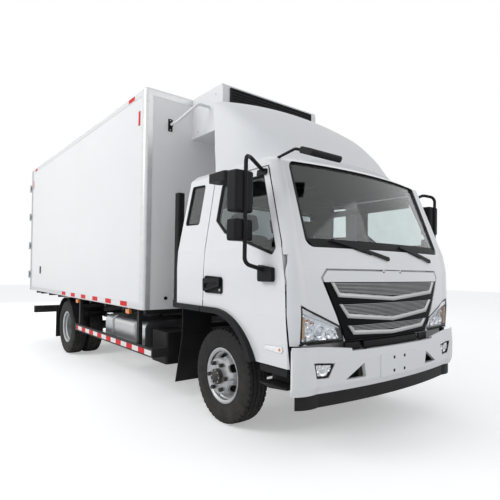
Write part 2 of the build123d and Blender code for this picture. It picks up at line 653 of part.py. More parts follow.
ball = chamfer(ball.edges(), 45)
rear_axle = rear_axle + ball + rod_x(0, TYRE_RADIUS + 20, RX, RX + 300, 60)
for side in (-1, 1):
    rear_axle = rear_axle + rod_y(RX, TYRE_RADIUS, side * 652, side * 664, 146)
    pad = block(RX - 75, RX + 75, side * SPRING_Y - 45, side * SPRING_Y + 45, TYRE_RADIUS, 470)
    rear_axle = rear_axle + pad

# Leaf packs: axle X, seat height, half length, rise, leaves
SPRINGS = [(FX, 422, 560, 74, 4), (RX, 470, 640, 12, 4)]
LEAF = 11
springs = []
for x, seat, half, rise, count in SPRINGS:
    pack = None
    for number in range(count):
        low = seat + LEAF * number
        reach = half * (0.45 + 0.55 * (number + 1) / count)
        lift = rise * (reach / half) ** 2
        outline = [
            Edge.make_three_point_arc((x - reach, 0, low + lift), (x, 0, low), (x + reach, 0, low + lift)),
            Edge.make_line((x + reach, 0, low + lift), (x + reach, 0, low + lift + LEAF)),
            Edge.make_three_point_arc(
                (x + reach, 0, low + lift + LEAF), (x, 0, low + LEAF), (x - reach, 0, low + lift + LEAF)
            ),
            Edge.make_line((x - reach, 0, low + lift + LEAF), (x - reach, 0, low + lift)),
        ]
        leaf = extrude(Face(Wire(outline)), amount=35, both=True)
        pack = leaf if pack is None else pack + leaf
    clamp = block(x - 50, x + 50, -40, 40, seat, seat + LEAF * count + 14)
    pack = pack + clamp
    springs += [Pos(0, side * SPRING_Y, 0) * pack for side in (-1, 1)]

# Ladder frame
RAIL = [(RAIL_OUTER_Y, RAIL_BOTTOM), (RAIL_OUTER_Y - 70, RAIL_BOTTOM), (RAIL_OUTER_Y - 70, RAIL_BOTTOM + 8)]
RAIL = RAIL + [(RAIL_OUTER_Y - 8, RAIL_BOTTOM + 8), (RAIL_OUTER_Y - 8, RAIL_TOP - 8)]
RAIL = RAIL + [(RAIL_OUTER_Y - 70, RAIL_TOP - 8), (RAIL_OUTER_Y - 70, RAIL_TOP), (RAIL_OUTER_Y, RAIL_TOP)]
FRAME_FRONT = FX + 860
FRAME_REAR = BOX_REAR + 120
CROSS_X = [FX + 825, FX - 1180, FX - 1950, FX - 2900, RX - 700, RX - 1250, FRAME_REAR + 40]
rail = front_prism(RAIL, FRAME_REAR, FRAME_FRONT)
frame = rail + left(rail)
for x in CROSS_X:
    frame = frame + block(x - 35, x + 35, -RAIL_OUTER_Y + 4, RAIL_OUTER_Y - 4, 610, 730)
for x, seat, half, rise, count in SPRINGS:
    for side in (-1, 1):
        for end in (-1, 1):
            middle = x + end * half
            y = side * SPRING_Y
            frame = frame + block(middle - 35, middle + 35, y - 45, y + 45, RAIL_BOTTOM - 14, RAIL_BOTTOM + 4)
            for edge in (-1, 1):
                y_plate = y + edge * 40
                frame = frame + block(middle - 35, middle + 35, y_plate - 4.5, y_plate + 4.5, seat + rise, RAIL_BOTTOM)
for side in (-1, 1):
    y = side * SPRING_Y
    frame = frame + block(FX + 790, FX + 860, y - 35, y + 35, RAIL_BOTTOM, RAIL_TOP)
    for edge in (-1, 1):
        y_plate = y + edge * 27.7
        frame = frame + block(FX + 850, FX + TILT_X + 14, y_plate - 7.3, y_plate + 7.3, 600, TILT_Z + 24)
    frame = frame - rod_y(FX + TILT_X, TILT_Z, y - 60, y + 60, 10 + RUN_FIT)
    frame = frame + block(FX - 545, FX - 445, y - 35, y + 35, RAIL_TOP - 4, ARCH_TOP - 0.4)

# Cab hinge arms, carried by the cab
LUG_REACH = 1022
LUG_SLOT = 26
LUG = [(872, 804), (872, 742), (962, 636), (998, 636), (998, 674), (938, 764), (900, 764), (900, 804)]
for side in (-1, 1):
    y = side * SPRING_Y
    lug = side_prism(shifted(LUG), y - 19.7, y + 19.7)
    cab_front = cab_front + lug + rod_y(FX + TILT_X, TILT_Z, y - 40, y + 40, 10)

# Engine, gearbox and propeller shaft
engine = block(FX - 620, FX + 340, -255, 255, 480, 915)
engine = fillet(engine.edges().filter_by(Axis.X), 50)
engine = engine + rod_x(0, 560, FX - 1110, FX - 600, 130)
for side in (-1, 1):
    y0 = min(side * 240, side * (RAIL_OUTER_Y - 8.3))
    y1 = max(side * 240, side * (RAIL_OUTER_Y - 8.3))
    engine = engine + block(FX - 180, FX - 80, y0, y1, 600, 660)
radiator = block(FX + 640, FX + 740, -300, 300, 500, 780)
radiator = radiator + block(FX + 670, FX + 710, -RAIL_OUTER_Y + 8.3, RAIL_OUTER_Y - 8.3, 600, 660)
SHAFT_START = (FX - 1110, 540)
SHAFT_END = (RX + 300, TYRE_RADIUS + 20)
shaft_run = math.hypot(SHAFT_START[0] - SHAFT_END[0], SHAFT_START[1] - SHAFT_END[1])
shaft_angle = math.degrees(math.atan2(SHAFT_START[1] - SHAFT_END[1], SHAFT_START[0] - SHAFT_END[0]))
shaft_place = Pos((SHAFT_START[0] + SHAFT_END[0]) / 2, 0, (SHAFT_START[1] + SHAFT_END[1]) / 2)
shaft = shaft_place * Rot(0, 90 - shaft_angle, 0) * Cylinder(36, shaft_run - 30)
shaft = shaft + rod_x(0, SHAFT_START[1], SHAFT_START[0] - 60, SHAFT_START[0] - 0.3, 58)
shaft = shaft + rod_x(0, SHAFT_END[1], SHAFT_END[0] + 0.3, SHAFT_END[0] + 60, 58)

# Tanks and boxes beside the frame
fuel_tank = front_prism([(-985, 345), (-985, 690), (-560, 690), (-560, 345)], FX - 2420, FX - 1290, radius=70)
for x in (-2180, -1530):
    band = front_prism([(-989, 341), (-989, 694), (-556, 694), (-556, 341)], FX + x - 25, FX + x + 25, radius=74)
    hook = block(FX + x - 25, FX + x + 25, -560, -RAIL_OUTER_Y - 0.3, 600, 690)
    fuel_tank = fuel_tank + band + hook
battery_box = block(FX - 1180, FX - 860, -960, -520, 330, 640)
battery_box = fillet(battery_box.edges().filter_by(Axis.Z), 25)
battery_box = battery_box + block(FX - 1100, FX - 940, -530, -RAIL_OUTER_Y - 0.3, 570, 640)
silencer = rod_x(700, 520, FX - 2300, FX - 1500, 170)
silencer = silencer + block(FX - 2200, FX - 2150, RAIL_OUTER_Y + 0.3, 600, 600, 680)
silencer = silencer + block(FX - 1650, FX - 1600, RAIL_OUTER_Y + 0.3, 600, 600, 680)
silencer = silencer + rod_x(700, 470, FX - 2750, FX - 2290, 45)

# Side guards, rear guard
GUARD_Y = 1085
guard = block(FX - 3240, FX - 860, -GUARD_Y - 25, -GUARD_Y + 5, 410, 495)
guard = guard + block(FX - 900, FX - 860, -GUARD_Y + 0, -960, 410, 495)
for x in (-3150, -1260):
    guard = guard + block(FX + x - 25, FX + x + 25, -GUARD_Y + 5, -GUARD_Y + 45, 410, BOX_BOTTOM - 0.3)
    guard = guard + block(FX + x - 25, FX + x + 25, -GUARD_Y + 45, -RAIL_OUTER_Y - 0.3, 715, 755)
rear_guard = block(BOX_REAR + 60, BOX_REAR + 150, -1090, 1090, 440, 560)
for side in (-1, 1):
    y = side * (RAIL_OUTER_Y - 35)
    rear_guard = rear_guard + block(BOX_REAR + 125.3, BOX_REAR + 185, y - 34, y + 34, 440, RAIL_BOTTOM - 0.3)

# Mudguards: front flap behind each steered wheel, rear hoop over each pair
front_mud = side_prism(shifted([(-575, 905), (-575, 640), (-690, 200), (-700, 200), (-585, 645), (-585, 905)]), -950, -640)
front_mud = front_mud + block(FX - 700, FX - 580, -700, -RAIL_OUTER_Y - 0.3, 700, 740)
HOOP = 432
hoop_z = TYRE_RADIUS
hoop = rod_y(RX, hoop_z, -1085, -640, HOOP) - rod_y(RX, hoop_z, -1200, -600, HOOP - 10)
hoop = hoop - block(RX - 600, RX + 600, -1200, -500, -200, 560)
hoop_stay = block(RX + 366, RX + 405, -900, -RAIL_OUTER_Y - 0.3, 600, 630)
rear_flap = block(RX - 520, RX - 508, -1080, -640, 180, 640)
rear_stay = block(RX - 512, RX - 350, -900, -RAIL_OUTER_Y - 0.3, 600, 640)
rear_mud = hoop + hoop_stay + rear_flap + rear_stay

# Intake duct behind the cab
intake = block(FX - 720, FX - 640, -975, -905, 960, 1960)
intake = fillet(intake.edges().filter_by(Axis.Z), 20)
intake = intake + block(FX - 720, FX - 640, -975, -RAIL_OUTER_Y + 20, 900, 965)
intake = intake + block(FX - 715, FX - 645, -RAIL_OUTER_Y, -RAIL_OUTER_Y + 60, RAIL_TOP + 0.3, 905)

# Bumper and its dark inner panel
BUMPER_SECTIONS = [(440, 22), (490, 2), (640, 0), (770, 14)]
BUMPER_LOW = BUMPER_SECTIONS[0][0]
BUMPER_HIGH = BUMPER_SECTIONS[-1][0]
BUMPER_MIDDLE_TOP = 702
BUMPER_STEP_Y = 520
BUMPER_STEP_TOP = 716
BUMPER_SIDE_TOP = 738
BUMPER_END = 926
BUMPER_SKIN = 28


def bumper_form(inset, low, high, tail):
    """Bumper outside between two heights, moved inwards."""
    faces = []
    for height, lean in BUMPER_SECTIONS:
        z = min(max(height, low), high)
        front = FRONT_OVERHANG - lean - inset
        half = 1012 - inset
        faces.append(cab_section(z, BUMPER_END - 200 - tail, front, 66, half, 45, 190, 0))
    return loft(faces, ruled=True)


bumper = bumper_form(0, BUMPER_LOW, BUMPER_HIGH, 0) - bumper_form(BUMPER_SKIN, 300, 900, 50)
bumper = bumper - block(FX + 500, FX + BUMPER_END, -1100, 1100, 300, 900)
bumper = bumper - block(FX + 500, FX + 1100, -BUMPER_STEP_Y, BUMPER_STEP_Y, BUMPER_MIDDLE_TOP, 900)
FOG = [(-680, 635), (-870, 652), (-840, 545), (-735, 540)]
VENT = [(-405, 612), (-385, 512), (-585, 512)]
pad_x = FX + FRONT_OVERHANG - 30
for side in (1, -1):
    above = [
        (side * BUMPER_STEP_Y, BUMPER_STEP_TOP),
        (side * 1015, BUMPER_SIDE_TOP),
        (side * 1015, 900),
        (side * BUMPER_STEP_Y, 900),
    ]
    bumper = bumper - front_prism(above, FX + 800, FX + 1100)
    arm_y = side * SPRING_Y
    bumper = bumper - block(FX + 900, FX + LUG_REACH, arm_y - LUG_SLOT, arm_y + LUG_SLOT, 650, 800)
    bumper = bumper - front_prism([(y * side, z) for y, z in FOG], FX + 800, FX + 1100)
    bumper = bumper - front_prism([(y * side, z) for y, z in VENT], FX + 800, FX + 1100)
pad = block(pad_x, FX + FRONT_OVERHANG, -230, 230, PLATE_Z - 80, PLATE_Z + 80)
bumper = bumper + pad
for y in (-PLATE_HOLE_Y / 2, PLATE_HOLE_Y / 2):
    for z in (PLATE_Z - PLATE_HOLE_Z / 2, PLATE_Z + PLATE_HOLE_Z / 2):
        bumper = bumper - rod_x(y, z, FX + 900, FX + 1100, 4)
fog = bumper_form(10, BUMPER_LOW, BUMPER_HIGH, 0) - bumper_form(50, 300, 900, 50)
fog = fog & front_prism([(-775 + (y + 775) * 0.99, 595 + (z - 595) * 0.98) for y, z in FOG], FX + 850, FX + 1100)
STAY_IN = RAIL_OUTER_Y - 4
STAY_OUT = RAIL_OUTER_Y + 30
for side in (-1, 1):
    y_stay = sorted((side * STAY_IN, side * STAY_OUT))
    stay = block(FX + 700, FX + 1100, y_stay[0], y_stay[1], 480, 590) & bumper_form(BUMPER_SKIN + 0.3, BUMPER_LOW, BUMPER_HIGH, 200)
    frame = frame + stay


def inner_layer(outer_inset, inner_inset, low, high):
    """Band behind the bumper line between two insets and two heights."""
    rows = []
    for inset in (outer_inset, inner_inset):
        plan = cab_section(low, BUMPER_END - 300, FRONT_OVERHANG - inset, 66, 1012 - inset, 45, 190, 0)
        rows.append(extrude(plan, amount=high - low, dir=(0, 0, 1)))
    return rows[0] - rows[1]


# Dark panel: a skirt under the bumper, a shelf, and an upright that closes the space below the lid
SKIRT_LOW = 348
PANEL_TOP = 750
panel_side_top = 690
inner_panel = inner_layer(26, 38, SKIRT_LOW, BUMPER_LOW - 0.3) + inner_layer(26, 72, BUMPER_LOW - 14, BUMPER_LOW - 0.3)
inner_panel = inner_panel + inner_layer(60, 72, BUMPER_LOW - 14, PANEL_TOP)
inner_panel = inner_panel - block(FX + 400, FX + BUMPER_END, -1100, 1100, 300, 800)
for side in (-1, 1):
    y_far = sorted((side * (BUMPER_STEP_Y + 10), side * 1100))
    inner_panel = inner_panel - block(FX + 400, FX + 1100, y_far[0], y_far[1], panel_side_top, 800)
    y_stay = sorted((side * (STAY_IN - 4), side * (STAY_OUT + 0.3)))
    inner_panel = inner_panel - block(FX + 800, FX + 1100, y_stay[0], y_stay[1], 479.7, 590.3)
    y = side * SPRING_Y
    inner_panel = inner_panel - block(FX + 800, FX + 1100, y - 42, y + 42, 590, 690)
    inner_panel = inner_panel - block(FX + 800, FX + 1100, y - LUG_SLOT, y + LUG_SLOT, 680, 800)
inner_panel = max(inner_panel.solids(), key=lambda solid: solid.volume)

# Insulated box: one rounded envelope cut into panels and corner profiles
envelope = block(BOX_REAR, BOX_FRONT, -BOX_HALF, BOX_HALF, BOX_BOTTOM, BOX_TOP)
top_edges = envelope.edges().group_by(Axis.Z)[-1]
round_edges = envelope.edges().filter_by(Axis.Z).group_by(Axis.X)[-1] + top_edges.filter_by(Axis.X)
round_edges = round_edges + top_edges.filter_by(Axis.Y).group_by(Axis.X)[-1]
envelope = fillet(round_edges, 35)
box_back = BOX_REAR + REAR_FRAME_DEPTH
side_in = BOX_HALF - EDGE
roof_in = BOX_TOP - EDGE
sunk_half = BOX_HALF - PANEL_SINK
sunk_top = BOX_TOP - PANEL_SINK
sunk_front = BOX_FRONT - PANEL_SINK
side_wall = block(box_back, BOX_FRONT - EDGE, -sunk_half, -BOX_HALF + WALL, BOX_BOTTOM + 65, roof_in)
box_front_wall = block(BOX_FRONT - WALL, sunk_front, -side_in, side_in, BOX_BOTTOM, roof_in)
box_roof = block(box_back, BOX_FRONT - EDGE, -side_in, side_in, BOX_TOP - WALL, sunk_top)
box_floor = block(box_back, BOX_FRONT - WALL, -side_in, side_in, BOX_BOTTOM, BOX_BOTTOM + FLOOR)
top_rail = envelope & block(box_back, BOX_FRONT, -BOX_HALF, -side_in, roof_in, BOX_TOP)
front_rail = envelope & block(BOX_FRONT - EDGE, BOX_FRONT, -side_in, side_in, roof_in, BOX_TOP)
post = envelope & block(BOX_FRONT - EDGE, BOX_FRONT, -BOX_HALF, -side_in, BOX_BOTTOM, roof_in)
low_rail = block(box_back, BOX_FRONT - EDGE, -BOX_HALF, -side_in, BOX_BOTTOM, BOX_BOTTOM + 65)
OPEN_HALF = BOX_HALF - 50
OPEN_LOW = BOX_BOTTOM + FLOOR
OPEN_HIGH = BOX_TOP - 90
rear_frame = envelope & block(BOX_REAR, box_back, -BOX_HALF, BOX_HALF, BOX_BOTTOM, BOX_TOP)
rear_frame = rear_frame - block(BOX_REAR - 10, box_back + 10, -OPEN_HALF, OPEN_HALF, OPEN_LOW, OPEN_HIGH)
JOIN = 0.2
rear_header = rear_frame & block(BOX_REAR, box_back, -OPEN_HALF + JOIN, OPEN_HALF - JOIN, OPEN_HIGH, BOX_TOP)
rear_sill = rear_frame & block(BOX_REAR, box_back, -OPEN_HALF + JOIN, OPEN_HALF - JOIN, BOX_BOTTOM, OPEN_LOW)
rear_post = rear_frame & block(BOX_REAR, box_back, -BOX_HALF, -OPEN_HALF, BOX_BOTTOM, BOX_TOP)

# Rear doors with straps and lock rods
PIN_X = BOX_REAR - HINGE_BACK
PIN_Y = BOX_HALF + HINGE_OUT
door_low = OPEN_LOW + REAR_DOOR_GAP
door_high = OPEN_HIGH - REAR_DOOR_GAP
rear_door = block(BOX_REAR, BOX_REAR + REAR_DOOR, -OPEN_HALF + REAR_DOOR_GAP, -DOOR_MEET, door_low, door_high)
STRAP = [(-48, 1165), (-48, 1085), (-12, 900), (0, 900), (0, 1086), (-32, 1104), (-32, 1165)]
HINGE_HEIGHTS = [1130, 1650, 2170, 2690]
HINGE_HALF = 35
hardware = []
for z in HINGE_HEIGHTS:
    strap = plan_prism([(BOX_REAR + x, -y) for x, y in STRAP], z - HINGE_HALF, z + HINGE_HALF)
    barrel = rod_z(PIN_X, -PIN_Y, z - HINGE_HALF, z + HINGE_HALF, HINGE_BARREL)
    hardware.append(strap + barrel)
    for end in (-1, 1):
        z0 = z + end * (HINGE_HALF + 0.5)
        z1 = z + end * (HINGE_HALF + 30.5)
        low = min(z0, z1)
        ear = rod_z(PIN_X, -PIN_Y, low, low + 30, HINGE_BARREL)
        ear = ear + plan_prism(
            [(PIN_X - 6, -PIN_Y), (PIN_X + 6, -PIN_Y + 2), (BOX_REAR + 2, -PIN_Y + 18), (BOX_REAR + 2, -PIN_Y + 42)],
            low,
            low + 30,
        )
        rear_post = rear_post + ear
# Lock rods: distance from the middle, then the handle's depth, sideways reach and height
LOCKS = [(165, 34, 10, -330, 12, 1190), (660, 42, 28, -12, 330, 1262)]
for y, x_far, x_near, y_from, y_to, z_low in LOCKS:
    lock = rod_z(BOX_REAR - 22, -y, BOX_BOTTOM + 35, BOX_TOP - 35, 11)
    for z in (1010, 1420, 2050, 2600, 2880):
        lock = lock + block(BOX_REAR - 34, BOX_REAR, -y - 28, -y + 28, z - 22, z + 22)
    lock = lock + block(BOX_REAR - x_far, BOX_REAR - x_near, -y + y_from, -y + y_to, z_low, z_low + 28)
    hardware.append(lock)

# Cross bearers under the box
BEARERS = [150, 700, 1250, 1800, 2300, 3300, 3850, 4400, 4720]
BEARER_HEIGHT = 55
runner_top = BOX_BOTTOM - BEARER_HEIGHT - 0.3
runner = block(FRAME_REAR, BOX_FRONT - 60, RAIL_OUTER_Y - 70, RAIL_OUTER_Y, RAIL_TOP, runner_top)
bearers = pair(runner)
for run in BEARERS:
    x = BOX_FRONT - run
    bearers.append(block(x - 25, x + 25, -1055, 1055, BOX_BOTTOM - BEARER_HEIGHT, BOX_BOTTOM))

# Cooling unit on the front wall
UNIT = [(0, 2600), (0, 3016), (548, 3016), (560, 2960), (560, 2740), (420, 2600)]
UNIT_HALF = 630
unit = side_prism([(sunk_front + x, z) for x, z in UNIT], -UNIT_HALF, UNIT_HALF)
unit = fillet(unit.edges().filter_by(Axis.Y).group_by(Axis.X)[-1], 8)
for side in (-1, 1):
    unit = unit + tube_path(
        [
            (sunk_front, side * 880, 2700),
            (sunk_front + 160, side * 880, 2700),
            (sunk_front + 330, side * 760, 2850),
            (sunk_front + 330, side * 620, 2850),
        ],
        50,
        14,
    )
unit = unit - block(BOX_FRONT - 20, BOX_FRONT + 0.3, -700, 700, roof_in - 1, 3100)
unit_face = sunk_front + 560
unit_grille = block(unit_face, unit_face + 14, -548, 548, 2752, 2990)
for number in range(8):
    z = 2770 + number * 27
    unit_grille = unit_grille - block(unit_face + 5, unit_face + 20, -530, 530, z, z + 17)

# Lamps carried by chassis and box
tail_lamp = block(BOX_REAR + 40, BOX_REAR + 59.7, -1040, -720, 455, 545)
marker_lamps = []
for x in (-1420, -3120):
    marker = block(FX + x - 45, FX + x + 45, -1128, -1100, 785, 830)
    marker = marker + block(FX + x - 12, FX + x + 12, -1112, -1102, 825, BOX_BOTTOM - 0.3)
    marker_lamps.append(marker)

os.makedirs("parts", exist_ok=True)
save("frame", frame)
save("axles", front_axle, rear_axle)
save("leaf_springs", *springs)
save("engine", engine, radiator)
save("propeller_shaft", shaft)
save("fuel_tank", fuel_tank)
save("battery_box", battery_box)
save("silencer", silencer)
save("guards", *pair(guard), rear_guard)
save("mudguards", *pair(front_mud), *pair(rear_mud))
save("intake_duct", intake)
save("front_bumper", bumper)
save("bumper_inner", inner_panel)
save("chassis_lamps", *pair(fog), *pair(tail_lamp), *pair(Compound(children=marker_lamps)))
save("box_floor", box_floor)
save("box_side_walls", *pair(side_wall))
save("box_front_wall", box_front_wall)
save("box_roof", box_roof)
save("box_profiles", *pair(top_rail), front_rail, *pair(post), *pair(low_rail))
save("box_rear_frame", *pair(rear_post), rear_header, rear_sill)
save("box_bearers", *bearers)
save("cooling_unit", unit)
save("cooling_grille", unit_grille)
save("cab_roof", cab_roof)
save("cab_back", cab_back)
save("cab_floor", cab_floor)
save("cab_front", cab_front)
save("cab_glass", screen_pane, rear_pane, *pair(quarter_pane))
save("headlamps", *pair(lamp))
save("wipers", *wiper_solids)
save("roof_fairing", fairing)
save("seats", *seats)
save("dashboard", dash)
save("steering_wheel", steering_wheel)
save("steps_and_flares", *pair(step), *pair(cab_flare))
save("look_down_mirror", look_down)
save("front_flap", front_flap)
save("grille", grille)
save("track_rod", track_rod)
sided = {
    "door_panel": [door_panel],
    "door_glass": [door_glass],
    "door_fittings": [door_flare, handle, arm],
    "knuckle": [knuckle],
    "front_wheel": [front_wheel],
    "front_tyre": [front_tyre],
    "rear_wheels": [rear_wheel],
    "rear_tyres": rear_tyres,
    "rear_door": [rear_door],
    "rear_door_locks": hardware,
}
for name, shapes in sided.items():
    save(name + "_left", *[left(shape) for shape in shapes])
    if name == "door_fittings":
        shapes = shapes + [kerb]
    save(name + "_right", *shapes)
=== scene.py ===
"""Looks of the refrigerated truck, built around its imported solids. Metres, X forward, Y left, Z up."""
import json
import math
import random

import bmesh
import bpy
from mathutils import Matrix, Vector
from mathutils.bvhtree import BVHTree


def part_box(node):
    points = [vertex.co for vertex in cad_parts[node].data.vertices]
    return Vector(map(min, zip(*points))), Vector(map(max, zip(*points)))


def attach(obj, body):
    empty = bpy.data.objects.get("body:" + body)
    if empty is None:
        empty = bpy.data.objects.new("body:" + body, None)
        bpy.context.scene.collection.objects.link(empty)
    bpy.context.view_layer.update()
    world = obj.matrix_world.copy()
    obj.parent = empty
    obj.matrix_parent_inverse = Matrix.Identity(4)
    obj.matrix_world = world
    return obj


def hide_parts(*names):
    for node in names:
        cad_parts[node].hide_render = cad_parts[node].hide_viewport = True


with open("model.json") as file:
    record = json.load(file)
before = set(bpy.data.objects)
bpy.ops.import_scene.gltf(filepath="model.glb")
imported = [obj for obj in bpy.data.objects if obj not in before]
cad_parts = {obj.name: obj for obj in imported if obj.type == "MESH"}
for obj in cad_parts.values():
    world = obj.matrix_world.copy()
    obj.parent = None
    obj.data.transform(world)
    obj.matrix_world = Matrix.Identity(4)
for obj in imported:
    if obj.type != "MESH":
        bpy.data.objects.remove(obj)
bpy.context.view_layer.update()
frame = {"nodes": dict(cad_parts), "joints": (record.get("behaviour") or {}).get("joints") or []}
NODES = frame["nodes"]
JOINT_AT = {joint["name"]: Vector(joint["pos_m"]) for joint in frame["joints"]}
SIDES = (("right", -1), ("left", 1))

# Places that come from the joints and solids
FX = JOINT_AT["steer_right"].x
WHEEL_Z = JOINT_AT["front_wheel_right_spin"].z
RX = JOINT_AT["rear_wheels_right_spin"].x
BOX_LOW, BOX_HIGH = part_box("box_profiles")
BOX_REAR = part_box("box_rear_frame")[0].x
BOX_SIDE = BOX_HIGH.y
BEHIND = BOX_REAR - 2.0
TYRE_LOW, TYRE_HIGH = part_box("front_tyre_right")
TYRE_RADIUS = (TYRE_HIGH.z - TYRE_LOW.z) / 2
TYRE_HALF = (TYRE_HIGH.y - TYRE_LOW.y) / 2
FRONT_TYRE_Y = (TYRE_HIGH.y + TYRE_LOW.y) / 2


# Materials
PATCH_FROM, PATCH_TO = 0.3, 0.7
GLOSS_SPREAD = 0.15
COAT_ROUGHNESS = 0.06
DUST = (0.30, 0.27, 0.23, 1.0)
DUST_FROM = 0.1
GRAIN_HEIGHT = 0.001
GLASS_INDEX = 1.45


def links(tree, *rows):
    """Joins an output of one node to an input of another, each by name or number."""
    for source, output, target, key in rows:
        tree.links.new(source.outputs[output], target.inputs[key])


def node(tree, kind, **values):
    """Shader node with its input values set by name."""
    made = tree.nodes.new(kind)
    for key, value in values.items():
        made.inputs[key.replace("_", " ")].default_value = value
    return made


def maths(tree, operation):
    """Math node for one operation."""
    made = tree.nodes.new("ShaderNodeMath")
    made.operation = operation
    return made


def scaled(color, factor):
    """Colour made lighter or darker, with full alpha."""
    return tuple(min(1.0, part * factor) for part in color[:3]) + (1.0,)


def surface(
    name, color, roughness, metallic=0.0, coat=0.0, patchy=0.06, patch_scale=5.0, grain=0.0,
    grain_scale=600.0, stretch=(1.0, 1.0, 1.0), dust=0.0, dust_top=1.0, specular=0.5,
):
    """Principled surface with uneven colour, uneven gloss, grain bump and dust near the ground."""
    made = bpy.data.materials.new(name)
    made.use_nodes = True
    tree = made.node_tree
    shader = tree.nodes["Principled BSDF"]
    shader.inputs["Metallic"].default_value = metallic
    shader.inputs["Coat Weight"].default_value = coat
    shader.inputs["Coat Roughness"].default_value = COAT_ROUGHNESS
    shader.inputs["Specular IOR Level"].default_value = specular
    place = tree.nodes.new("ShaderNodeTexCoord")
    mapping = node(tree, "ShaderNodeMapping", Scale=stretch)
    noise = node(tree, "ShaderNodeTexNoise", Scale=patch_scale, Detail=5.0)
    ramp = tree.nodes.new("ShaderNodeValToRGB")
    dark, light = ramp.color_ramp.elements
    dark.position = PATCH_FROM
    light.position = PATCH_TO
    dark.color = scaled(color, 1 - patchy)
    light.color = scaled(color, 1 + patchy)
    shiny, dull = roughness * (1 - GLOSS_SPREAD), min(1.0, roughness * (1 + GLOSS_SPREAD))
    gloss = node(tree, "ShaderNodeMapRange", To_Min=shiny, To_Max=dull)
    links(
        tree,
        (place, "Object", mapping, "Vector"),
        (mapping, "Vector", noise, "Vector"),
        (noise, "Fac", ramp, "Fac"),
        (noise, "Fac", gloss, "Value"),
        (gloss, "Result", shader, "Roughness"),
    )
    tint = (ramp, "Color")
    if dust:
        height = tree.nodes.new("ShaderNodeSeparateXYZ")
        fall = node(tree, "ShaderNodeMapRange", From_Min=DUST_FROM, From_Max=dust_top, To_Min=dust)
        fall.inputs["To Max"].default_value = 0.0
        share = maths(tree, "MULTIPLY")
        mix = tree.nodes.new("ShaderNodeMix")
        mix.data_type = "RGBA"
        mix.inputs["B"].default_value = DUST
        links(
            tree,
            (place, "Object", height, "Vector"),
            (height, "Z", fall, "Value"),
            (fall, "Result", share, 0),
            (noise, "Fac", share, 1),
            (share, "Value", mix, "Factor"),
            (*tint, mix, "A"),
        )
        tint = (mix, "Result")
    links(tree, (*tint, shader, "Base Color"))
    if grain:
        fine = node(tree, "ShaderNodeTexNoise", Scale=grain_scale, Detail=3.0)
        bump = node(tree, "ShaderNodeBump", Strength=grain, Distance=GRAIN_HEIGHT)
        links(
            tree,
            (mapping, "Vector", fine, "Vector"),
            (fine, "Fac", bump, "Height"),
            (bump, "Normal", shader, "Normal"),
        )
    return made


def clear(name, color, roughness, ripple):
    """See-through glass or lens plastic with faint ripples."""
    made = surface(name, color, roughness, patchy=0.02, grain=ripple, grain_scale=3.0)
    shader = made.node_tree.nodes["Principled BSDF"]
    shader.inputs["Transmission Weight"].default_value = 1.0
    shader.inputs["IOR"].default_value = GLASS_INDEX
    return made


# Looks that several surfaces share
PANEL = {"patchy": 0.012, "patch_scale": 1.2, "grain": 0.05, "grain_scale": 9.0}
LENS_LOOK = {"coat": 0.8, "patch_scale": 160.0, "grain": 0.2, "grain_scale": 240.0}
TAPE_LOOK = {"patch_scale": 90.0, "grain": 0.15, "grain_scale": 300.0}
WHITE_PAINT = surface(
    "white_paint", (0.80, 0.81, 0.825), 0.30, coat=0.35, patchy=0.008, grain=0.006, grain_scale=240.0,
    dust=0.10, dust_top=0.8,
)
SHELL_WHITE = surface(
    "shell_white", (0.76, 0.77, 0.785), 0.48, patchy=0.008, grain=0.01, grain_scale=120.0, specular=0.25
)
# Box front wall: the box's white made lighter, painted light that lifts the shade the cab and fairing cast on
# it
WALL_PAINTED_LIGHT = surface("wall_white_painted_light", (0.90, 0.90, 0.905), 0.45, specular=0.3, **PANEL)
BOX_WHITE = surface("box_white", (0.79, 0.80, 0.81), 0.34, **PANEL)
PROFILE = surface(
    "profile", (0.74, 0.75, 0.76), 0.36, metallic=0.55, patchy=0.04, grain=0.08, stretch=(0.15, 3.0, 3.0)
)
BLACK = surface(
    "black_plastic", (0.011, 0.011, 0.013), 0.5, patchy=0.15, grain=0.35, grain_scale=900.0, dust=0.08,
    specular=0.16,
)
GRILLE_BLACK = surface("grille_black", (0.005, 0.005, 0.006), 0.4, patchy=0.1, grain=0.1, specular=0.06)
CHASSIS = surface("chassis_black", (0.014, 0.014, 0.016), 0.5, patchy=0.2, grain=0.06, dust=0.2, specular=0.2)
SILVER = surface(
    "silver_wheel", (0.52, 0.53, 0.54), 0.36, metallic=0.75, patchy=0.10, patch_scale=14.0, grain=0.06
)
ALUMINIUM = surface(
    "brushed_aluminium", (0.62, 0.63, 0.64), 0.33, metallic=1.0, patchy=0.08, grain=0.12,
    stretch=(0.2, 4.0, 4.0),
)
STEEL = surface(
    "galvanised_steel", (0.50, 0.51, 0.52), 0.4, metallic=0.9, patchy=0.14, patch_scale=20.0, grain=0.1
)
IRON = surface(
    "dark_casting", (0.05, 0.048, 0.046), 0.6, metallic=0.35, patchy=0.35, patch_scale=9.0, grain=0.4,
    grain_scale=260.0, dust=0.2, specular=0.25,
)
RUBBER = surface(
    "tyre_rubber", (0.018, 0.018, 0.019), 0.75, patchy=0.25, patch_scale=12.0, grain=0.25, grain_scale=420.0,
    dust=0.16, dust_top=0.9, specular=0.2,
)
SEAL = surface("seal_rubber", (0.008, 0.008, 0.009), 0.55, patchy=0.1, grain=0.1, specular=0.18)
GLASS = clear("cab_glass", (0.74, 0.80, 0.80), 0.01, 0.004)
LENS = clear("clear_lens", (0.93, 0.95, 0.97), 0.02, 0.01)
RED_LENS = surface("red_lens", (0.42, 0.012, 0.012), 0.18, patchy=0.1, **LENS_LOOK)
AMBER_LENS = surface("amber_lens", (0.80, 0.22, 0.015), 0.18, patchy=0.1, **LENS_LOOK)
PALE_AMBER = surface(
    "amber_strip", (0.70, 0.36, 0.12), 0.2, coat=0.8, patchy=0.12, patch_scale=140.0, grain=0.2,
    grain_scale=240.0,
)
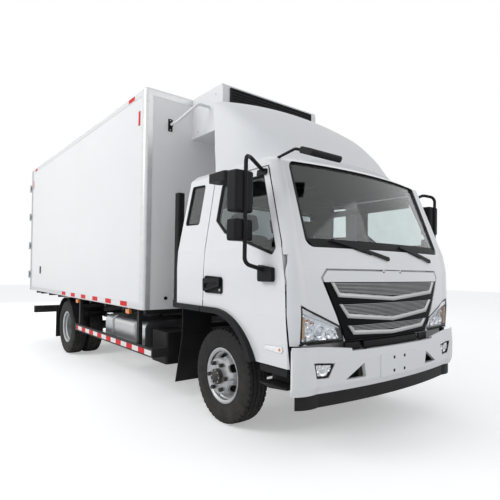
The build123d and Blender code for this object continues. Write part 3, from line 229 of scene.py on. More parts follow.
CHROME = surface("bright_trim", (0.70, 0.71, 0.72), 0.2, metallic=1.0, patchy=0.03, grain=0.02)
MIRROR = surface("mirror_glass", (0.80, 0.82, 0.83), 0.03, metallic=1.0, patchy=0.01)
CLOTH = surface(
    "seat_cloth", (0.045, 0.046, 0.05), 0.85, patchy=0.25, patch_scale=60.0, grain=0.6, grain_scale=700.0,
    specular=0.2,
)
DASH = surface(
    "dash_plastic", (0.03, 0.03, 0.033), 0.65, patchy=0.1, grain=0.3, grain_scale=700.0, specular=0.2
)
TAPE_RED = surface("red_tape", (0.66, 0.010, 0.013), 0.4, patchy=0.12, specular=0.15, **TAPE_LOOK)
TAPE_WHITE = surface("white_tape", (0.78, 0.78, 0.77), 0.4, patchy=0.06, specular=0.2, **TAPE_LOOK)
GRILLE_BAR = surface("grille_bars", (0.42, 0.425, 0.43), 0.36, metallic=0.7, patchy=0.08, grain=0.05)
GRILLE_SILVER = surface("satin_silver", (0.46, 0.465, 0.47), 0.4, metallic=0.75, patchy=0.05, grain=0.05)
LIGHT_GUIDE = surface(
    "light_guide", (0.97, 0.97, 0.98), 0.22, coat=0.8, patchy=0.02, grain=0.05, grain_scale=160.0
)
CLEAR_BULB = surface(
    "bulb_glass", (0.62, 0.65, 0.68), 0.08, metallic=0.45, coat=1.0, patchy=0.05, grain=0.05,
    grain_scale=150.0,
)
TRIM = surface(
    "cab_trim", (0.030, 0.031, 0.034), 0.8, patchy=0.1, patch_scale=30.0, grain=0.3, grain_scale=500.0,
    specular=0.2,
)
SCREEN_GLASS = surface("screen_glass", (0.015, 0.016, 0.018), 0.1, coat=0.8, patchy=0.05)
LAMP_BRIGHT = surface(
    "lamp_reflector", (0.82, 0.83, 0.85), 0.16, metallic=1.0, patchy=0.03, grain=0.06, grain_scale=180.0
)

NODE_FINISH = {
    WHITE_PAINT: ["front_bumper", "cab_roof", "cab_back", "cab_front", "roof_fairing", "front_flap",
                  "door_panel_right", "door_panel_left"],
    WALL_PAINTED_LIGHT: ["box_front_wall"],
    BOX_WHITE: ["box_side_walls", "box_roof", "cooling_unit", "rear_door_right", "rear_door_left"],
    PROFILE: ["box_profiles"],
    BLACK: ["battery_box", "mudguards", "intake_duct", "bumper_inner", "cooling_grille", "wipers",
            "steps_and_flares", "look_down_mirror", "door_fittings_right", "door_fittings_left"],
    GRILLE_BLACK: ["grille"],
    CHASSIS: ["frame", "guards", "box_bearers", "cab_floor"],
    IRON: ["axles", "leaf_springs", "engine", "knuckle_right", "knuckle_left"],
    STEEL: ["propeller_shaft", "silencer", "box_rear_frame", "track_rod", "rear_door_locks_right",
            "rear_door_locks_left"],
    ALUMINIUM: ["fuel_tank", "box_floor"],
    SILVER: ["front_wheel_right", "front_wheel_left", "rear_wheels_right", "rear_wheels_left"],
    RUBBER: ["front_tyre_right", "front_tyre_left", "rear_tyres_right", "rear_tyres_left"],
    GLASS: ["cab_glass", "door_glass_right", "door_glass_left"],
    LENS: ["headlamps"],
    RED_LENS: ["chassis_lamps"],
    CLOTH: ["seats"],
    DASH: ["dashboard", "steering_wheel"],
}
for finish, names in NODE_FINISH.items():
    for name in names:
        NODES[name].data.materials.clear()
        NODES[name].data.materials.append(finish)


# Making pieces
FITTING_SMOOTH = 35
# Shares of the radius and of the height
DOME_PROFILE = ((0, 1.0), (0.6, 0.85), (0.92, 0.45), (1.0, 0.0), (0, 0.0))
CUP_PROFILE = ((0, 0.15), (0.45, 0.22), (0.78, 0.5), (0.94, 1.0), (1.0, 1.0), (1.0, 0.0), (0, 0.0))


def circle(radius, height, sides):
    """Points round the Z axis at a height."""
    angles = [2 * math.pi * step / sides for step in range(sides)]
    return [(radius * math.cos(angle), radius * math.sin(angle), height) for angle in angles]


class Builder:
    """Collects many small forms into the points and faces of one piece."""

    def __init__(self):
        self.points = []
        self.faces = []
        self.tones = []

    def add(self, points, faces, tone=0):
        """Adds a form with its material number."""
        start = len(self.points)
        self.points += [tuple(point) for point in points]
        self.faces += [[start + corner for corner in face] for face in faces]
        self.tones += [tone] * len(faces)

    def block(self, low, high, tone=0, bevel=0.0):
        """Block between two corners with bevelled edges."""
        form = bmesh.new()
        bmesh.ops.create_cube(form, size=1.0)
        for vert in form.verts:
            vert.co = [low[i] + (vert.co[i] + 0.5) * (high[i] - low[i]) for i in range(3)]
        if bevel:
            bmesh.ops.bevel(form, geom=form.edges[:], offset=bevel, segments=2, affect="EDGES", profile=0.5)
        self.take(form, tone)

    def take(self, form, tone=0, matrix=None):
        """Adds a bmesh form, moved by a matrix."""
        if matrix is not None:
            form.transform(matrix)
        form.verts.index_update()
        faces = [[vert.index for vert in face.verts] for face in form.faces]
        self.add([vert.co for vert in form.verts], faces, tone)
        form.free()

    def dome(self, place, axis, radius, height, tone=0, sides=10):
        """Low round head, such as a rivet, on a surface."""
        profile = [(share * radius, rise * height) for share, rise in DOME_PROFILE]
        self.turned(place, axis, profile, tone, sides)

    def rod(self, start, end, radius, tone=0, sides=16):
        """Closed round bar between two points."""
        start, end = Vector(start), Vector(end)
        along = end - start
        form = bmesh.new()
        bmesh.ops.create_cone(
            form, cap_ends=True, segments=sides, radius1=radius, radius2=radius, depth=along.length
        )
        turn = along.to_track_quat("Z", "Y").to_matrix().to_4x4()
        self.take(form, tone, Matrix.Translation((start + end) / 2) @ turn)

    def bar(self, path, width, depth, out, tone=0):
        """Flat strip along a path: width across it, depth outwards from the surface."""
        loops = []
        for number, point in enumerate(path):
            ahead = path[min(number + 1, len(path) - 1)] - path[max(number - 1, 0)]
            across = ahead.cross(out).normalized() * width / 2
            rise = across.cross(ahead).normalized() * depth
            loops.append([point - across, point + across, point + across + rise, point - across + rise])
        self.sweep(loops, tone)

    def sweep(self, loops, tone=0, closed=False):
        """Skin over cross-section loops along a path, with capped ends unless the path is closed."""
        size = len(loops[0])
        faces = []
        for row in range(len(loops) if closed else len(loops) - 1):
            base = row * size
            below = (row + 1) % len(loops) * size
            for corner in range(size):
                after = (corner + 1) % size
                faces.append([base + corner, base + after, below + after, below + corner])
        if not closed:
            last = (len(loops) - 1) * size
            faces += [list(range(size))[::-1], [last + corner for corner in range(size)]]
        self.add([point for loop in loops for point in loop], faces, tone)

    def turned(self, place, axis, profile, tone=0, sides=24):
        """Closed form turned round an axis from radius and height pairs; both ends lie on the axis."""
        turn = Vector(axis).to_track_quat("Z", "Y").to_matrix()
        points = [(0, 0, profile[0][1]), (0, 0, profile[-1][1])]
        rings = profile[1:-1]
        for radius, height in rings:
            points += circle(radius, height, sides)
        faces = []
        for step in range(sides):
            after = (step + 1) % sides
            faces.append([0, 2 + step, 2 + after])
            for number in range(len(rings) - 1):
                base = 2 + number * sides
                faces.append([base + step, base + sides + step, base + sides + after, base + after])
            base = 2 + (len(rings) - 1) * sides
            faces.append([1, base + after, base + step])
        self.add([Vector(place) + turn @ Vector(point) for point in points], faces, tone)

    def cup(self, place, axis, radius, height, tone=0):
        """Open reflector bowl on a surface."""
        profile = [(share * radius, rise * height) for share, rise in CUP_PROFILE]
        self.turned(place, axis, profile, tone, sides=28)

    def make(self, name, finish, body, slot, smooth_angle=FITTING_SMOOTH):
        """Turns the collected forms into a piece that rides on a body."""
        mesh = bpy.data.meshes.new(name)
        mesh.from_pydata(self.points, [], self.faces)
        made = bpy.data.objects.new(name, mesh)
        bpy.context.scene.collection.objects.link(made)
        for material in finish if isinstance(finish, list) else [finish]:
            mesh.materials.append(material)
        mesh.update()
        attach(made, body)
        mesh.polygons.foreach_set("material_index", self.tones)
        form = bmesh.new()
        form.from_mesh(mesh)
        bmesh.ops.recalc_face_normals(form, faces=form.faces)
        form.to_mesh(mesh)
        form.free()
        if smooth_angle:
            mesh.shade_smooth()
            mesh.set_sharp_from_angle(angle=math.radians(smooth_angle))
        return made


def tree_of(name):
    """Search tree over one node's surface."""
    mesh = NODES[name].data
    faces = [list(face.vertices) for face in mesh.polygons]
    return BVHTree.FromPolygons([vert.co for vert in mesh.vertices], faces)


# Tyres with ribs, zigzag grooves and shoulder slots
PITCHES = 46
PITCH_STEPS = (0.0, 0.14, 0.30, 0.34, 0.50, 0.66, 0.70, 0.86)
SLOT_FROM, SLOT_TO = 0.32, 0.68
SLOT_DEPTH = 0.009
SLOT_FOOT, SLOT_REACH = 0.36, 0.0215
GROOVES = (0.023, 0.056)
GROOVE_DEPTH = 0.012
GROOVE_HALF = 0.0045
GROOVE_FLOOR = GROOVE_HALF * 0.6
ZIGZAG = 0.004
TREAD_HALF = 0.078
CROWN_DROP = 0.0055
LUG_EDGE = 0.0745
LUG_FOOT = GROOVES[1] + 0.008
BEAD = (0.0696, 0.2063)
TYRE_SMOOTH = 32
# Outer wall from the bead to the tread edge: offset from the middle, radius
WALL_POINTS = (
    (0.0725, 0.225), (0.0860, 0.227), (0.0890, 0.230), (0.0905, 0.236), (0.0925, 0.240), (0.0930, 0.246),
    (0.0965, 0.265), (0.0990, 0.280), (0.0998, 0.295), (0.0990, 0.310), (0.0978, 0.323), (0.0985, 0.326),
    (0.0970, 0.330), (0.0950, 0.345), (0.0915, 0.360), (0.0885, 0.369), (0.0850, 0.377), (0.0780, 0.3815),
)
WALL, SHOULDER = WALL_POINTS[:-3], WALL_POINTS[-3:]


def crown(offset):
    """Radius of the tread face at an offset from the tyre's middle."""
    return TYRE_RADIUS - CROWN_DROP * (offset / TREAD_HALF) ** 2


def tread_columns():
    """Across the tread from plus to minus: offset, depth below the face, zigzag share."""
    columns = []
    for middle in (GROOVES[1], GROOVES[0], -GROOVES[0], -GROOVES[1]):
        columns += [
            (middle + GROOVE_HALF, 0.0, 1.0),
            (middle + GROOVE_FLOOR, GROOVE_DEPTH, 1.0),
            (middle - GROOVE_FLOOR, GROOVE_DEPTH, 1.0),
            (middle - GROOVE_HALF, 0.0, 1.0),
        ]
    columns.insert(len(columns) // 2, (0.0, 0.0, 0.0))
    return columns


def tyre_section(share):
    """Closed section of the tyre at a share of one tread pitch: offsets and radii."""
    wave = ZIGZAG * (abs(((share * 2) % 1) - 0.5) * 4 - 1)
    cut = SLOT_DEPTH if SLOT_FROM < share < SLOT_TO else 0.0
    half = list(WALL)
    half += [(offset, radius - cut * (radius - SLOT_FOOT) / SLOT_REACH) for offset, radius in SHOULDER]
    half += [(LUG_EDGE, crown(LUG_EDGE) - cut), (LUG_FOOT, crown(GROOVES[1]) - cut * 0.6)]
    tread = [(offset + wave * zig, crown(offset) - depth) for offset, depth, zig in tread_columns()]
    other = [(-offset, radius) for offset, radius in half[::-1]]
    return half + tread + other + [(-BEAD[0], BEAD[1]), BEAD]


def tyre_form(builder, x, y, out):
    """One tyre round the Y axis at wheel height; out is the side its outer face looks to."""
    sections = [(share, tyre_section(share)) for share in PITCH_STEPS]
    loops = []
    for pitch in range(PITCHES):
        for share, section in sections:
            angle = 2 * math.pi * (pitch + share) / PITCHES
            ahead, above = math.cos(angle), math.sin(angle)
            loops.append([(x + radius * ahead, y + offset * out, WHEEL_Z + radius * above)
                          for offset, radius in section])
    builder.sweep(loops, closed=True)


REAR_LOW, REAR_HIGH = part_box("rear_tyres_left")
for side, sign in SIDES:
    front = Builder()
    tyre_form(front, FX, sign * abs(FRONT_TYRE_Y), sign)
    made = front.make("tread_front_" + side, RUBBER, "front_wheel_" + side, "tyre", smooth_angle=TYRE_SMOOTH)
    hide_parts("front_tyre_" + side)
    twin = Builder()
    for y in (REAR_LOW.y + TYRE_HALF, REAR_HIGH.y - TYRE_HALF):
        tyre_form(twin, RX, sign * y, sign)
    made = twin.make("tread_rear_" + side, RUBBER, "rear_wheels_" + side, "tyre", smooth_angle=TYRE_SMOOTH)
    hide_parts("rear_tyres_" + side)


# Reflective tape on the bottom rails and the side guards
TAPE_HALF = 0.025
TAPE_THICK = 0.0006
TAPE_LEAST = 0.02
GUARD_LOW, GUARD_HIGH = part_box("guards")
# Name, rear end, front end, face, middle height, lengths of red and white, first colour
TAPE_RUNS = (
    ("tape_rail", FX - 3.76, FX - 1.38, BOX_SIDE, BOX_LOW.z + 0.036, (0.18, 0.26), 0),
    ("tape_guard", RX + 0.62, GUARD_HIGH.x - 0.02, GUARD_HIGH.y, GUARD_LOW.z + 0.04, (0.148, 0.148), 1),
)
for label, x_from, x_to, face, middle, lengths, first in TAPE_RUNS:
    for side, sign in SIDES:
        tape = Builder()
        x = x_to
        tone = first
        inner, outer = sorted((sign * face, sign * (face + TAPE_THICK)))
        while x > x_from + TAPE_LEAST:
            step = min(lengths[tone], x - x_from)
            tape.block((x - step, inner, middle - TAPE_HALF), (x, outer, middle + TAPE_HALF), tone)
            x -= step
            tone = 1 - tone
        tape.make(label + "_" + side, [TAPE_RED, TAPE_WHITE], "chassis", "lamp", smooth_angle=None)


# Finding surfaces
def seen(names, origin, direction, first, second):
    """Finder over nodes: surface point and outward normal for two coordinates, looking along a direction."""
    trees = [tree_of(name) for name in names]
    along = Vector(direction)

    def find(spot):
        start = Vector(origin)
        start[first] = spot[0]
        start[second] = spot[1]
        found = [tree.ray_cast(start, along) for tree in trees]
        found = [entry for entry in found if entry[0] is not None]
        if not found:
            return None
        place, normal = min(found, key=lambda entry: entry[3])[:2]
        return place, normal if normal.dot(along) < 0 else -normal

    return find


def from_front(*names):
    """Finder that looks at nodes from the front, by Y and Z."""
    return seen(names, (FX + 2.0, 0, 0), (-1, 0, 0), 1, 2)


def from_side(sign, *names):
    """Finder that looks at nodes from one side, by X and Z."""
    return seen(names, (0, sign * 3.0, 0), (0, -sign, 0), 0, 2)


def from_behind(x, *names):
    """Finder that looks at nodes forwards from an X, by Y and Z."""
    return seen(names, (x, 0, 0), (1, 0, 0), 1, 2)


def from_above(z, *names):
    """Finder that looks down at nodes from a height, by X and Y."""
    return seen(names, (0, 0, z), (0, 0, -1), 0, 1)


def rounded(outline, radius, steps=6):
    """Closed outline of flat corners with each corner rounded."""
    corners = [Vector(corner) for corner in outline]
    points = []
    for number, corner in enumerate(corners):
        before = corners[number - 1] - corner
        after = corners[(number + 1) % len(corners)] - corner
        reach = min(radius, before.length * 0.45, after.length * 0.45)
        start = corner + before.normalized() * reach
        end = corner + after.normalized() * reach
        for step in range(steps + 1):
            share = step / steps
            points.append(start * (1 - share) ** 2 + corner * 2 * share * (1 - share) + end * share**2)
    return points


def dense(points, step, closed=True):
    """Outline or path with points no further apart than a step."""
    made = []
    spans = len(points) if closed else len(points) - 1
    for number in range(spans):
        point = points[number]
        after = points[(number + 1) % len(points)]
        pieces = max(1, math.ceil((after - point).length / step))
        made += [point.lerp(after, share / pieces) for share in range(pieces)]
    return made if closed else made + [points[-1]]


def shrunk(points, distance):
    """Closed outline moved inwards by a distance, or by a function of the point."""
    turns = sum(a.x * b.y - a.y * b.x for a, b in zip(points, points[1:] + points[:1]))
    made = []
    for number, point in enumerate(points):
        ahead = points[(number + 1) % len(points)] - points[number - 1]
        inwards = Vector((-ahead.y, ahead.x)).normalized() * math.copysign(1, turns)
        made.append(point + inwards * (distance(point) if callable(distance) else distance))
    return made


def on_surface(find, points, height=0.0):
    """Points found on a surface and lifted from it; a ray that misses takes the last find's place."""
    made = []
    last = next(entry for entry in map(find, points) if entry)
    for point in points:
        last = find(point) or last
        made.append(last[0] + last[1] * height)
    return made


def outline_of(corners, radius, step):
    """Closed outline with rounded corners and points no further apart than a step."""
    return dense(rounded(corners, radius), step)


def rectangle(a_low, b_low, a_high, b_high):
    """Four corners between two opposite ones."""
    return [(a_low, b_low), (a_high, b_low), (a_high, b_high), (a_low, b_high)]


BAND_EDGE = 0.0008
BAND_FOOT = 0.0002


def frame_band(builder, find, outline, width, rise, lip=0.001, tone=0):
    """Closed band on a surface inside an outline, thick at its outer edge and thin at its inner one."""
    edge = shrunk(outline, BAND_EDGE)
    half = shrunk(outline, (lambda point: width(point) * 0.5) if callable(width) else width * 0.5)
    inner = shrunk(outline, width)
    rows = zip(
        on_surface(find, edge, BAND_FOOT),
        on_surface(find, edge, rise),
        on_surface(find, half, rise * 0.85),
        on_surface(find, inner, lip),
        on_surface(find, inner, BAND_FOOT),
    )
    builder.sweep(list(rows), tone, closed=True)


def panel(builder, find, outline, low, high, tone=0):
    """Closed flat-topped form on a surface inside an outline, from one height to another."""
    builder.sweep([on_surface(find, outline, low), on_surface(find, outline, high)], tone)


# Edges of the glass: dark bands along each pane's outline
SCREEN = [(-0.842, 1.412), (0.842, 1.412), (0.806, 2.046), (-0.806, 2.046)]
REAR_GLASS = rectangle(-0.62, 1.45, 0.62, 1.88)
DOOR_WINDOW = [(0.030, 1.936), (0.004, 1.640), (0.145, 1.532), (0.735, 1.352), (0.772, 1.400), (0.556, 1.936)]
QUARTER_WINDOW = [(-0.438, 1.985), (-0.222, 1.975), (-0.252, 1.630), (-0.486, 1.636)]
PANE_CORNER = 0.06
BAND_RISE = 0.0125
# Border of the windscreen, what its foot adds and its head takes away, and the heights of both
BORDER, FOOT_ADDS, HEAD_TAKES = 0.034, 0.028, 0.010
FOOT_HIGH, HEAD_HIGH = 0.09, 0.06
SEAL_SMOOTH = 40


def from_axle(outline):
    """Outline with X counted from the front axle, as truck X."""
    return [(FX + x, z) for x, z in outline]


def screen_width(point):
    """Dark border of the windscreen: wide at the foot, narrow at the top."""
    foot = max(0.0, 1 - (point.y - SCREEN[0][1]) / FOOT_HIGH)
    head = max(0.0, 1 - (SCREEN[2][1] - point.y) / HEAD_HIGH)
    return BORDER + FOOT_ADDS * foot - HEAD_TAKES * head


band = Builder()
frame_band(band, from_front("cab_glass"), outline_of(SCREEN, PANE_CORNER, 0.03), screen_width, BAND_RISE)
behind = from_behind(FX - 0.9, "cab_glass")
frame_band(band, behind, outline_of(REAR_GLASS, PANE_CORNER, 0.04), 0.02, BAND_RISE)
for side, sign in SIDES:
    quarter = outline_of(from_axle(QUARTER_WINDOW), 0.028, 0.03)
    frame_band(band, from_side(sign, "cab_glass"), quarter, 0.016, BAND_RISE)
    door_band = Builder()
    window = outline_of(from_axle(DOOR_WINDOW), 0.022, 0.03)
    frame_band(door_band, from_side(sign, "door_glass_" + side), window, 0.018, BAND_RISE)
    door_band.make("window_seal_" + side, SEAL, "door_" + side, "black_plastic", smooth_angle=SEAL_SMOOTH)
band.make("glass_bands", SEAL, "cab", "black_plastic", smooth_angle=SEAL_SMOOTH)


# Grille: bright surrounds and fine bars in three bays
# Top, half width at top, half width at bottom, side bottom, middle bottom
GRILLE_BAYS = (
    (1.172, 0.668, 0.600, 1.072, 1.034),
    (1.022, 0.595, 0.512, 0.924, 0.882),
    (0.870, 0.508, 0.448, 0.804, 0.782),
)
# Heights between the bays, where the grille's face is whole
GRILLE_ROWS = (0.780, 0.876, 1.028, 1.168)
SURROUND = 0.030
SURROUND_STEPS = 12
# Surround from its outer to its inner edge: share across, height above the face
SURROUND_SECTION = ((0.0, 0.0), (0.0, 0.007), (0.3, 0.0105), (0.75, 0.0085), (1.0, 0.002), (1.0, 0.0))
BAR_STEP = 0.0098
BAR_HIGH = 0.0052
BAR_HALF = Vector((0, 0, BAR_HIGH / 2))
BAR_DEEP = 0.004
BAR_SPAN = 0.06
BAR_LEAST = 0.02
find_grille = from_front("grille")


def grille_face(spot):
    """Point and normal on the grille's face, carried across the open slots."""
    y, z = spot
    upper = next((number for number, row in enumerate(GRILLE_ROWS) if row >= z), len(GRILLE_ROWS) - 1)
    upper = max(upper, 1)
    low, high = GRILLE_ROWS[upper - 1], GRILLE_ROWS[upper]
    lower_hit = find_grille((y, low)) or find_grille((y * 0.9, low))
    upper_hit = find_grille((y, high)) or find_grille((y * 0.9, high))
    share = (z - low) / (high - low)
    place = lower_hit[0].lerp(upper_hit[0], share)
    return Vector((place.x, y, z)), lower_hit[1].lerp(upper_hit[1], share).normalized()


def surround_path(half_top, top, half_low, side_low, mid_low):
    """Path down one slanted edge, along the pointed foot and up the other edge."""
    corners = [(-half_top, top), (-half_low, side_low), (0, mid_low), (half_low, side_low), (half_top, top)]
    corners = [Vector(corner) for corner in corners]
    path = []
    for start, end in zip(corners, corners[1:]):
        path += [start.lerp(end, step / SURROUND_STEPS) for step in range(SURROUND_STEPS)]
    return path + [corners[-1]]


grille_trim = Builder()
for top, half_top, half_low, side_low, mid_low in GRILLE_BAYS:
    reach_top, reach_low = half_top - SURROUND * 1.2, half_low - SURROUND * 0.6
    side_foot, mid_foot = side_low + SURROUND, mid_low + SURROUND
    outer = surround_path(half_top, top, half_low, side_low, mid_low)
    inner = surround_path(reach_top, top, reach_low, side_foot, mid_foot)
    sections = []
    for out_spot, in_spot in zip(outer, inner):
        out_place, out_way = grille_face(out_spot)
        in_place, in_way = grille_face(in_spot)
        sections.append([
            out_place.lerp(in_place, share) + (out_way if share < 0.5 else in_way) * rise
            for share, rise in SURROUND_SECTION
        ])
    grille_trim.sweep(sections, 0)
    level = top - BAR_STEP * 0.6
    while level > mid_foot + BAR_HIGH:
        if level > side_foot:
            reach = reach_low + (reach_top - reach_low) * (level - side_foot) / (top - side_foot)
        else:
            reach = reach_low * (level - mid_foot) / (side_foot - mid_foot)
        if reach > BAR_LEAST:
            count = max(2, round(2 * reach / BAR_SPAN))
            bars = []
            for step in range(count + 1):
                place, way = grille_face((-reach + 2 * reach * step / count, level))
                face = place + way * BAR_DEEP
                slim = BAR_HALF * 0.7
                bars.append([place - BAR_HALF, face - slim, face + slim, place + BAR_HALF])
            grille_trim.sweep(bars, 1)
        level -= BAR_STEP
grille_trim.make("grille_trim", [GRILLE_SILVER, GRILLE_BAR], "front_lid", "silver")


# Headlamps: clear cover, dark rim, faceted bowl, light strip, indicator and lens
# Corners as seen from the front on the left side: inner low, outer low, outer high, inner high
LAMP = ((0.536, 0.768), (0.930, 0.768), (0.930, 1.026), (0.575, 0.872))
LAMP_DEPTH = 0.030
RIM_EDGE, RIM_WIDE = 0.001, 0.013
FACETS = (11, 5)
FACET_TILT = 0.006
FACET_THICK = 0.008
CELL = ((0, 0), (1, 0), (1, 1), (0, 1))
CELL_FACES = [[0, 1, 2, 3], [7, 6, 5, 4], [0, 4, 5, 1], [1, 5, 6, 2], [2, 6, 7, 3], [3, 7, 4, 0]]
STRIP = ((0.03, 0.77), (0.95, 0.80), (0.97, 0.965), (0.03, 0.955))
INDICATOR = rectangle(0.895, 0.12, 0.955, 0.72)
# Reflectors: share across, share up, radius, share of the radius that the lens takes
CUPS = ((0.30, 0.34, 0.034, 0.30), (0.52, 0.36, 0.046, 0.62), (0.77, 0.30, 0.036, 0.30))
BULBS = ((0.70, 0.62), (0.80, 0.66))
# Clear cover: cells across and up, heights of its two faces
COVER_ACROSS, COVER_UP = 14, 8
COVER_FACES = (-0.0008, -0.0030)
draws = random.Random(4)


def lamp_spot(sign, across, up):
    """Y and Z inside the lamp outline from shares across and up."""
    low = Vector(LAMP[0]).lerp(Vector(LAMP[1]), across)
    high = Vector(LAMP[3]).lerp(Vector(LAMP[2]), across)
    spot = low.lerp(high, up)
    return Vector((spot.x * sign, spot.y))


def within(margin, share):
    """Share of a length that leaves a margin at both ends."""
    return margin + (1 - 2 * margin) * share


def lamp_corners(sign, shares):
    """Corners inside the lamp outline from pairs of shares."""
    return [lamp_spot(sign, across, up) for across, up in shares]


lamp_parts = Builder()
lamp_covers = Builder()
find_lamp = from_front("headlamps")
for side, sign in SIDES:
    outline = outline_of(lamp_corners(sign, CELL), 0.03, 0.02)
    edge, inside = shrunk(outline, RIM_EDGE), shrunk(outline, RIM_WIDE)
    rim = zip(
        on_surface(find_lamp, edge, -LAMP_DEPTH),
        on_surface(find_lamp, edge, -0.0005),
        on_surface(find_lamp, inside, -0.0015),
        on_surface(find_lamp, inside, -LAMP_DEPTH),
    )
    lamp_parts.sweep(list(rim), 0, closed=True)
    columns, rows = FACETS
    for column in range(columns):
        for row in range(rows):
            tilt = [draws.uniform(-FACET_TILT, FACET_TILT) for _ in range(4)]
            cell = []
            for (a, b), lift in zip(CELL, tilt):
                shares = (within(0.03, (column + a) / columns), within(0.04, (row + b) / rows))
                place, way = find_lamp(lamp_spot(sign, *shares))
                cell.append(place - way * (LAMP_DEPTH - FACET_THICK + lift))
            back = [corner - Vector((FACET_THICK, 0, 0)) for corner in cell]
            lamp_parts.add(cell + back, CELL_FACES, 1)
    panel(lamp_parts, find_lamp, outline_of(lamp_corners(sign, STRIP), 0.012, 0.02), -0.019, -0.0045, 2)
    panel(lamp_parts, find_lamp, outline_of(lamp_corners(sign, INDICATOR), 0.01, 0.02), -0.022, -0.006, 3)
    for across, up, radius, lens in CUPS:
        place, way = find_lamp(lamp_spot(sign, across, up))
        way = way.lerp(Vector((1, 0, 0)), 0.6).normalized()
        lamp_parts.cup(place - way * 0.027, way, radius, 0.018, 1)
        lamp_parts.dome(place - way * 0.026, way, radius * lens, radius * 0.38, 4, sides=24)
    for across, up in BULBS:
        place, way = find_lamp(lamp_spot(sign, across, up))
        lamp_parts.cup(place - way * 0.024, way, 0.018, 0.010, 1)
        lamp_parts.dome(place - way * 0.022, way, 0.009, 0.014, 5, sides=14)
    tall = COVER_UP + 1
    layer = (COVER_ACROSS + 1) * tall
    grid = []
    faces = []
    for number, height in enumerate(COVER_FACES):
        for column in range(COVER_ACROSS + 1):
            for row in range(tall):
                shares = (within(0.006, column / COVER_ACROSS), within(0.008, row / COVER_UP))
                place, way = find_lamp(lamp_spot(sign, *shares))
                grid.append(place + way * height)
        for column in range(COVER_ACROSS):
            for row in range(COVER_UP):
                corner = number * layer + column * tall + row
                faces.append([corner, corner + tall, corner + tall + 1, corner + 1])
    ring = [column * tall for column in range(COVER_ACROSS)]
    ring += [COVER_ACROSS * tall + row for row in range(COVER_UP)]
    ring += [column * tall + COVER_UP for column in range(COVER_ACROSS, 0, -1)]
    ring += list(range(COVER_UP, 0, -1))
    for corner, after in zip(ring, ring[1:] + ring[:1]):
        faces.append([corner, after, layer + after, layer + corner])
    lamp_covers.add(grid, faces)
LAMP_FINISHES = [SEAL, LAMP_BRIGHT, LIGHT_GUIDE, PALE_AMBER, CLEAR_BULB, AMBER_LENS]
lamps = lamp_parts.make("headlamp_units", LAMP_FINISHES, "cab", "lamp", smooth_angle=30)
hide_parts("headlamps")
lamp_covers.make("headlamp_covers", LENS, "cab", "glass", smooth_angle=60)


# Roof fairing: smooth skin through the stations of the solid
# X from the axle, half width at the roof, half width at the shoulder, shoulder height, crown height
FAIRING = (
    (-0.330, 0.945, 0.888, 2.704, 2.846),
    (-0.060, 0.935, 0.870, 2.604, 2.728),
    (0.230, 0.880, 0.792, 2.378, 2.492),
    (0.430, 0.800, 0.660, 2.216, 2.302),
    (0.585, 0.690, 0.520, 2.100, 2.150),
)
FAIRING_SKIN = 0.012
FAIRING_ROWS = 30
FAIRING_SHARES = 20
# Shares of the way over the fairing at which the side ends and the shoulder ends
SIDE_ENDS, SHOULDER_ENDS = 0.35, 0.55
# End of the shoulder and the bend before it: share of its width, share of the rise
MID_WIDE, MID_HIGH = 0.80, 0.55
BEND_WIDE, BEND_HIGH = 0.975, 0.72
FOOT_SUNK = 0.006
ROOF_FRONT = 2.030
# Slanted tail: X at a height, and X lost for each metre of height
TAIL_X, TAIL_Z, TAIL_SLANT = -0.060, 1.9, 0.202
TAIL_GUESS = -0.2
TAIL_ROUNDS = 8
find_roof = from_above(3.0, "cab_roof", "cab_back")


def station(x):
    """Fairing sizes at an X, on a smooth curve through the stations."""
    last = len(FAIRING) - 1
    left = max(number for number in range(last) if FAIRING[number][0] <= max(x, FAIRING[0][0]))
    span = FAIRING[left + 1][0] - FAIRING[left][0]
    t = (x - FAIRING[left][0]) / span
    sizes = []
    for entry in range(1, 5):
        slopes = []
        for number in (left, left + 1):
            before, after = FAIRING[max(number - 1, 0)], FAIRING[min(number + 1, last)]
            slopes.append((after[entry] - before[entry]) / (after[0] - before[0]))
        sizes.append(
            (2 * t**3 - 3 * t**2 + 1) * FAIRING[left][entry]
            + (t**3 - 2 * t**2 + t) * span * slopes[0]
            + (3 * t**2 - 2 * t**3) * FAIRING[left + 1][entry]
            + (t**3 - t**2) * span * slopes[1]
        )
    return sizes


def bent(start, bend, end, share):
    """Value on a curve that leaves its start towards a bend and comes to its end from there."""
    return start * (1 - share) ** 2 + bend * 2 * share * (1 - share) + end * share**2


def fairing_point(x, share, inset):
    """Y and Z on the left of the fairing: share runs from 0 at the foot to 1 at the crown."""
    half, shoulder, z_side, z_top = (size - inset for size in station(x))
    z_mid = z_side + (z_top - z_side) * MID_HIGH
    y_mid = shoulder * MID_WIDE
    if share < SIDE_ENDS:
        found = find_roof((FX + x, half))
        foot = found[0].z - FOOT_SUNK if found else ROOF_FRONT
        part = share / SIDE_ENDS
        return half + (shoulder - half) * part, foot + (z_side - foot) * part
    if share < SHOULDER_ENDS:
        part = (share - SIDE_ENDS) / (SHOULDER_ENDS - SIDE_ENDS)
        z_bend = z_side + (z_mid - z_side) * BEND_HIGH
        return bent(shoulder, shoulder * BEND_WIDE, y_mid, part), bent(z_side, z_bend, z_mid, part)
    y = y_mid * (1 - (share - SHOULDER_ENDS) / (1 - SHOULDER_ENDS))
    rise = z_top - z_mid
    radius = (y_mid**2 + rise**2) / (2 * rise)
    return y, z_top - radius + math.sqrt(radius**2 - y**2)


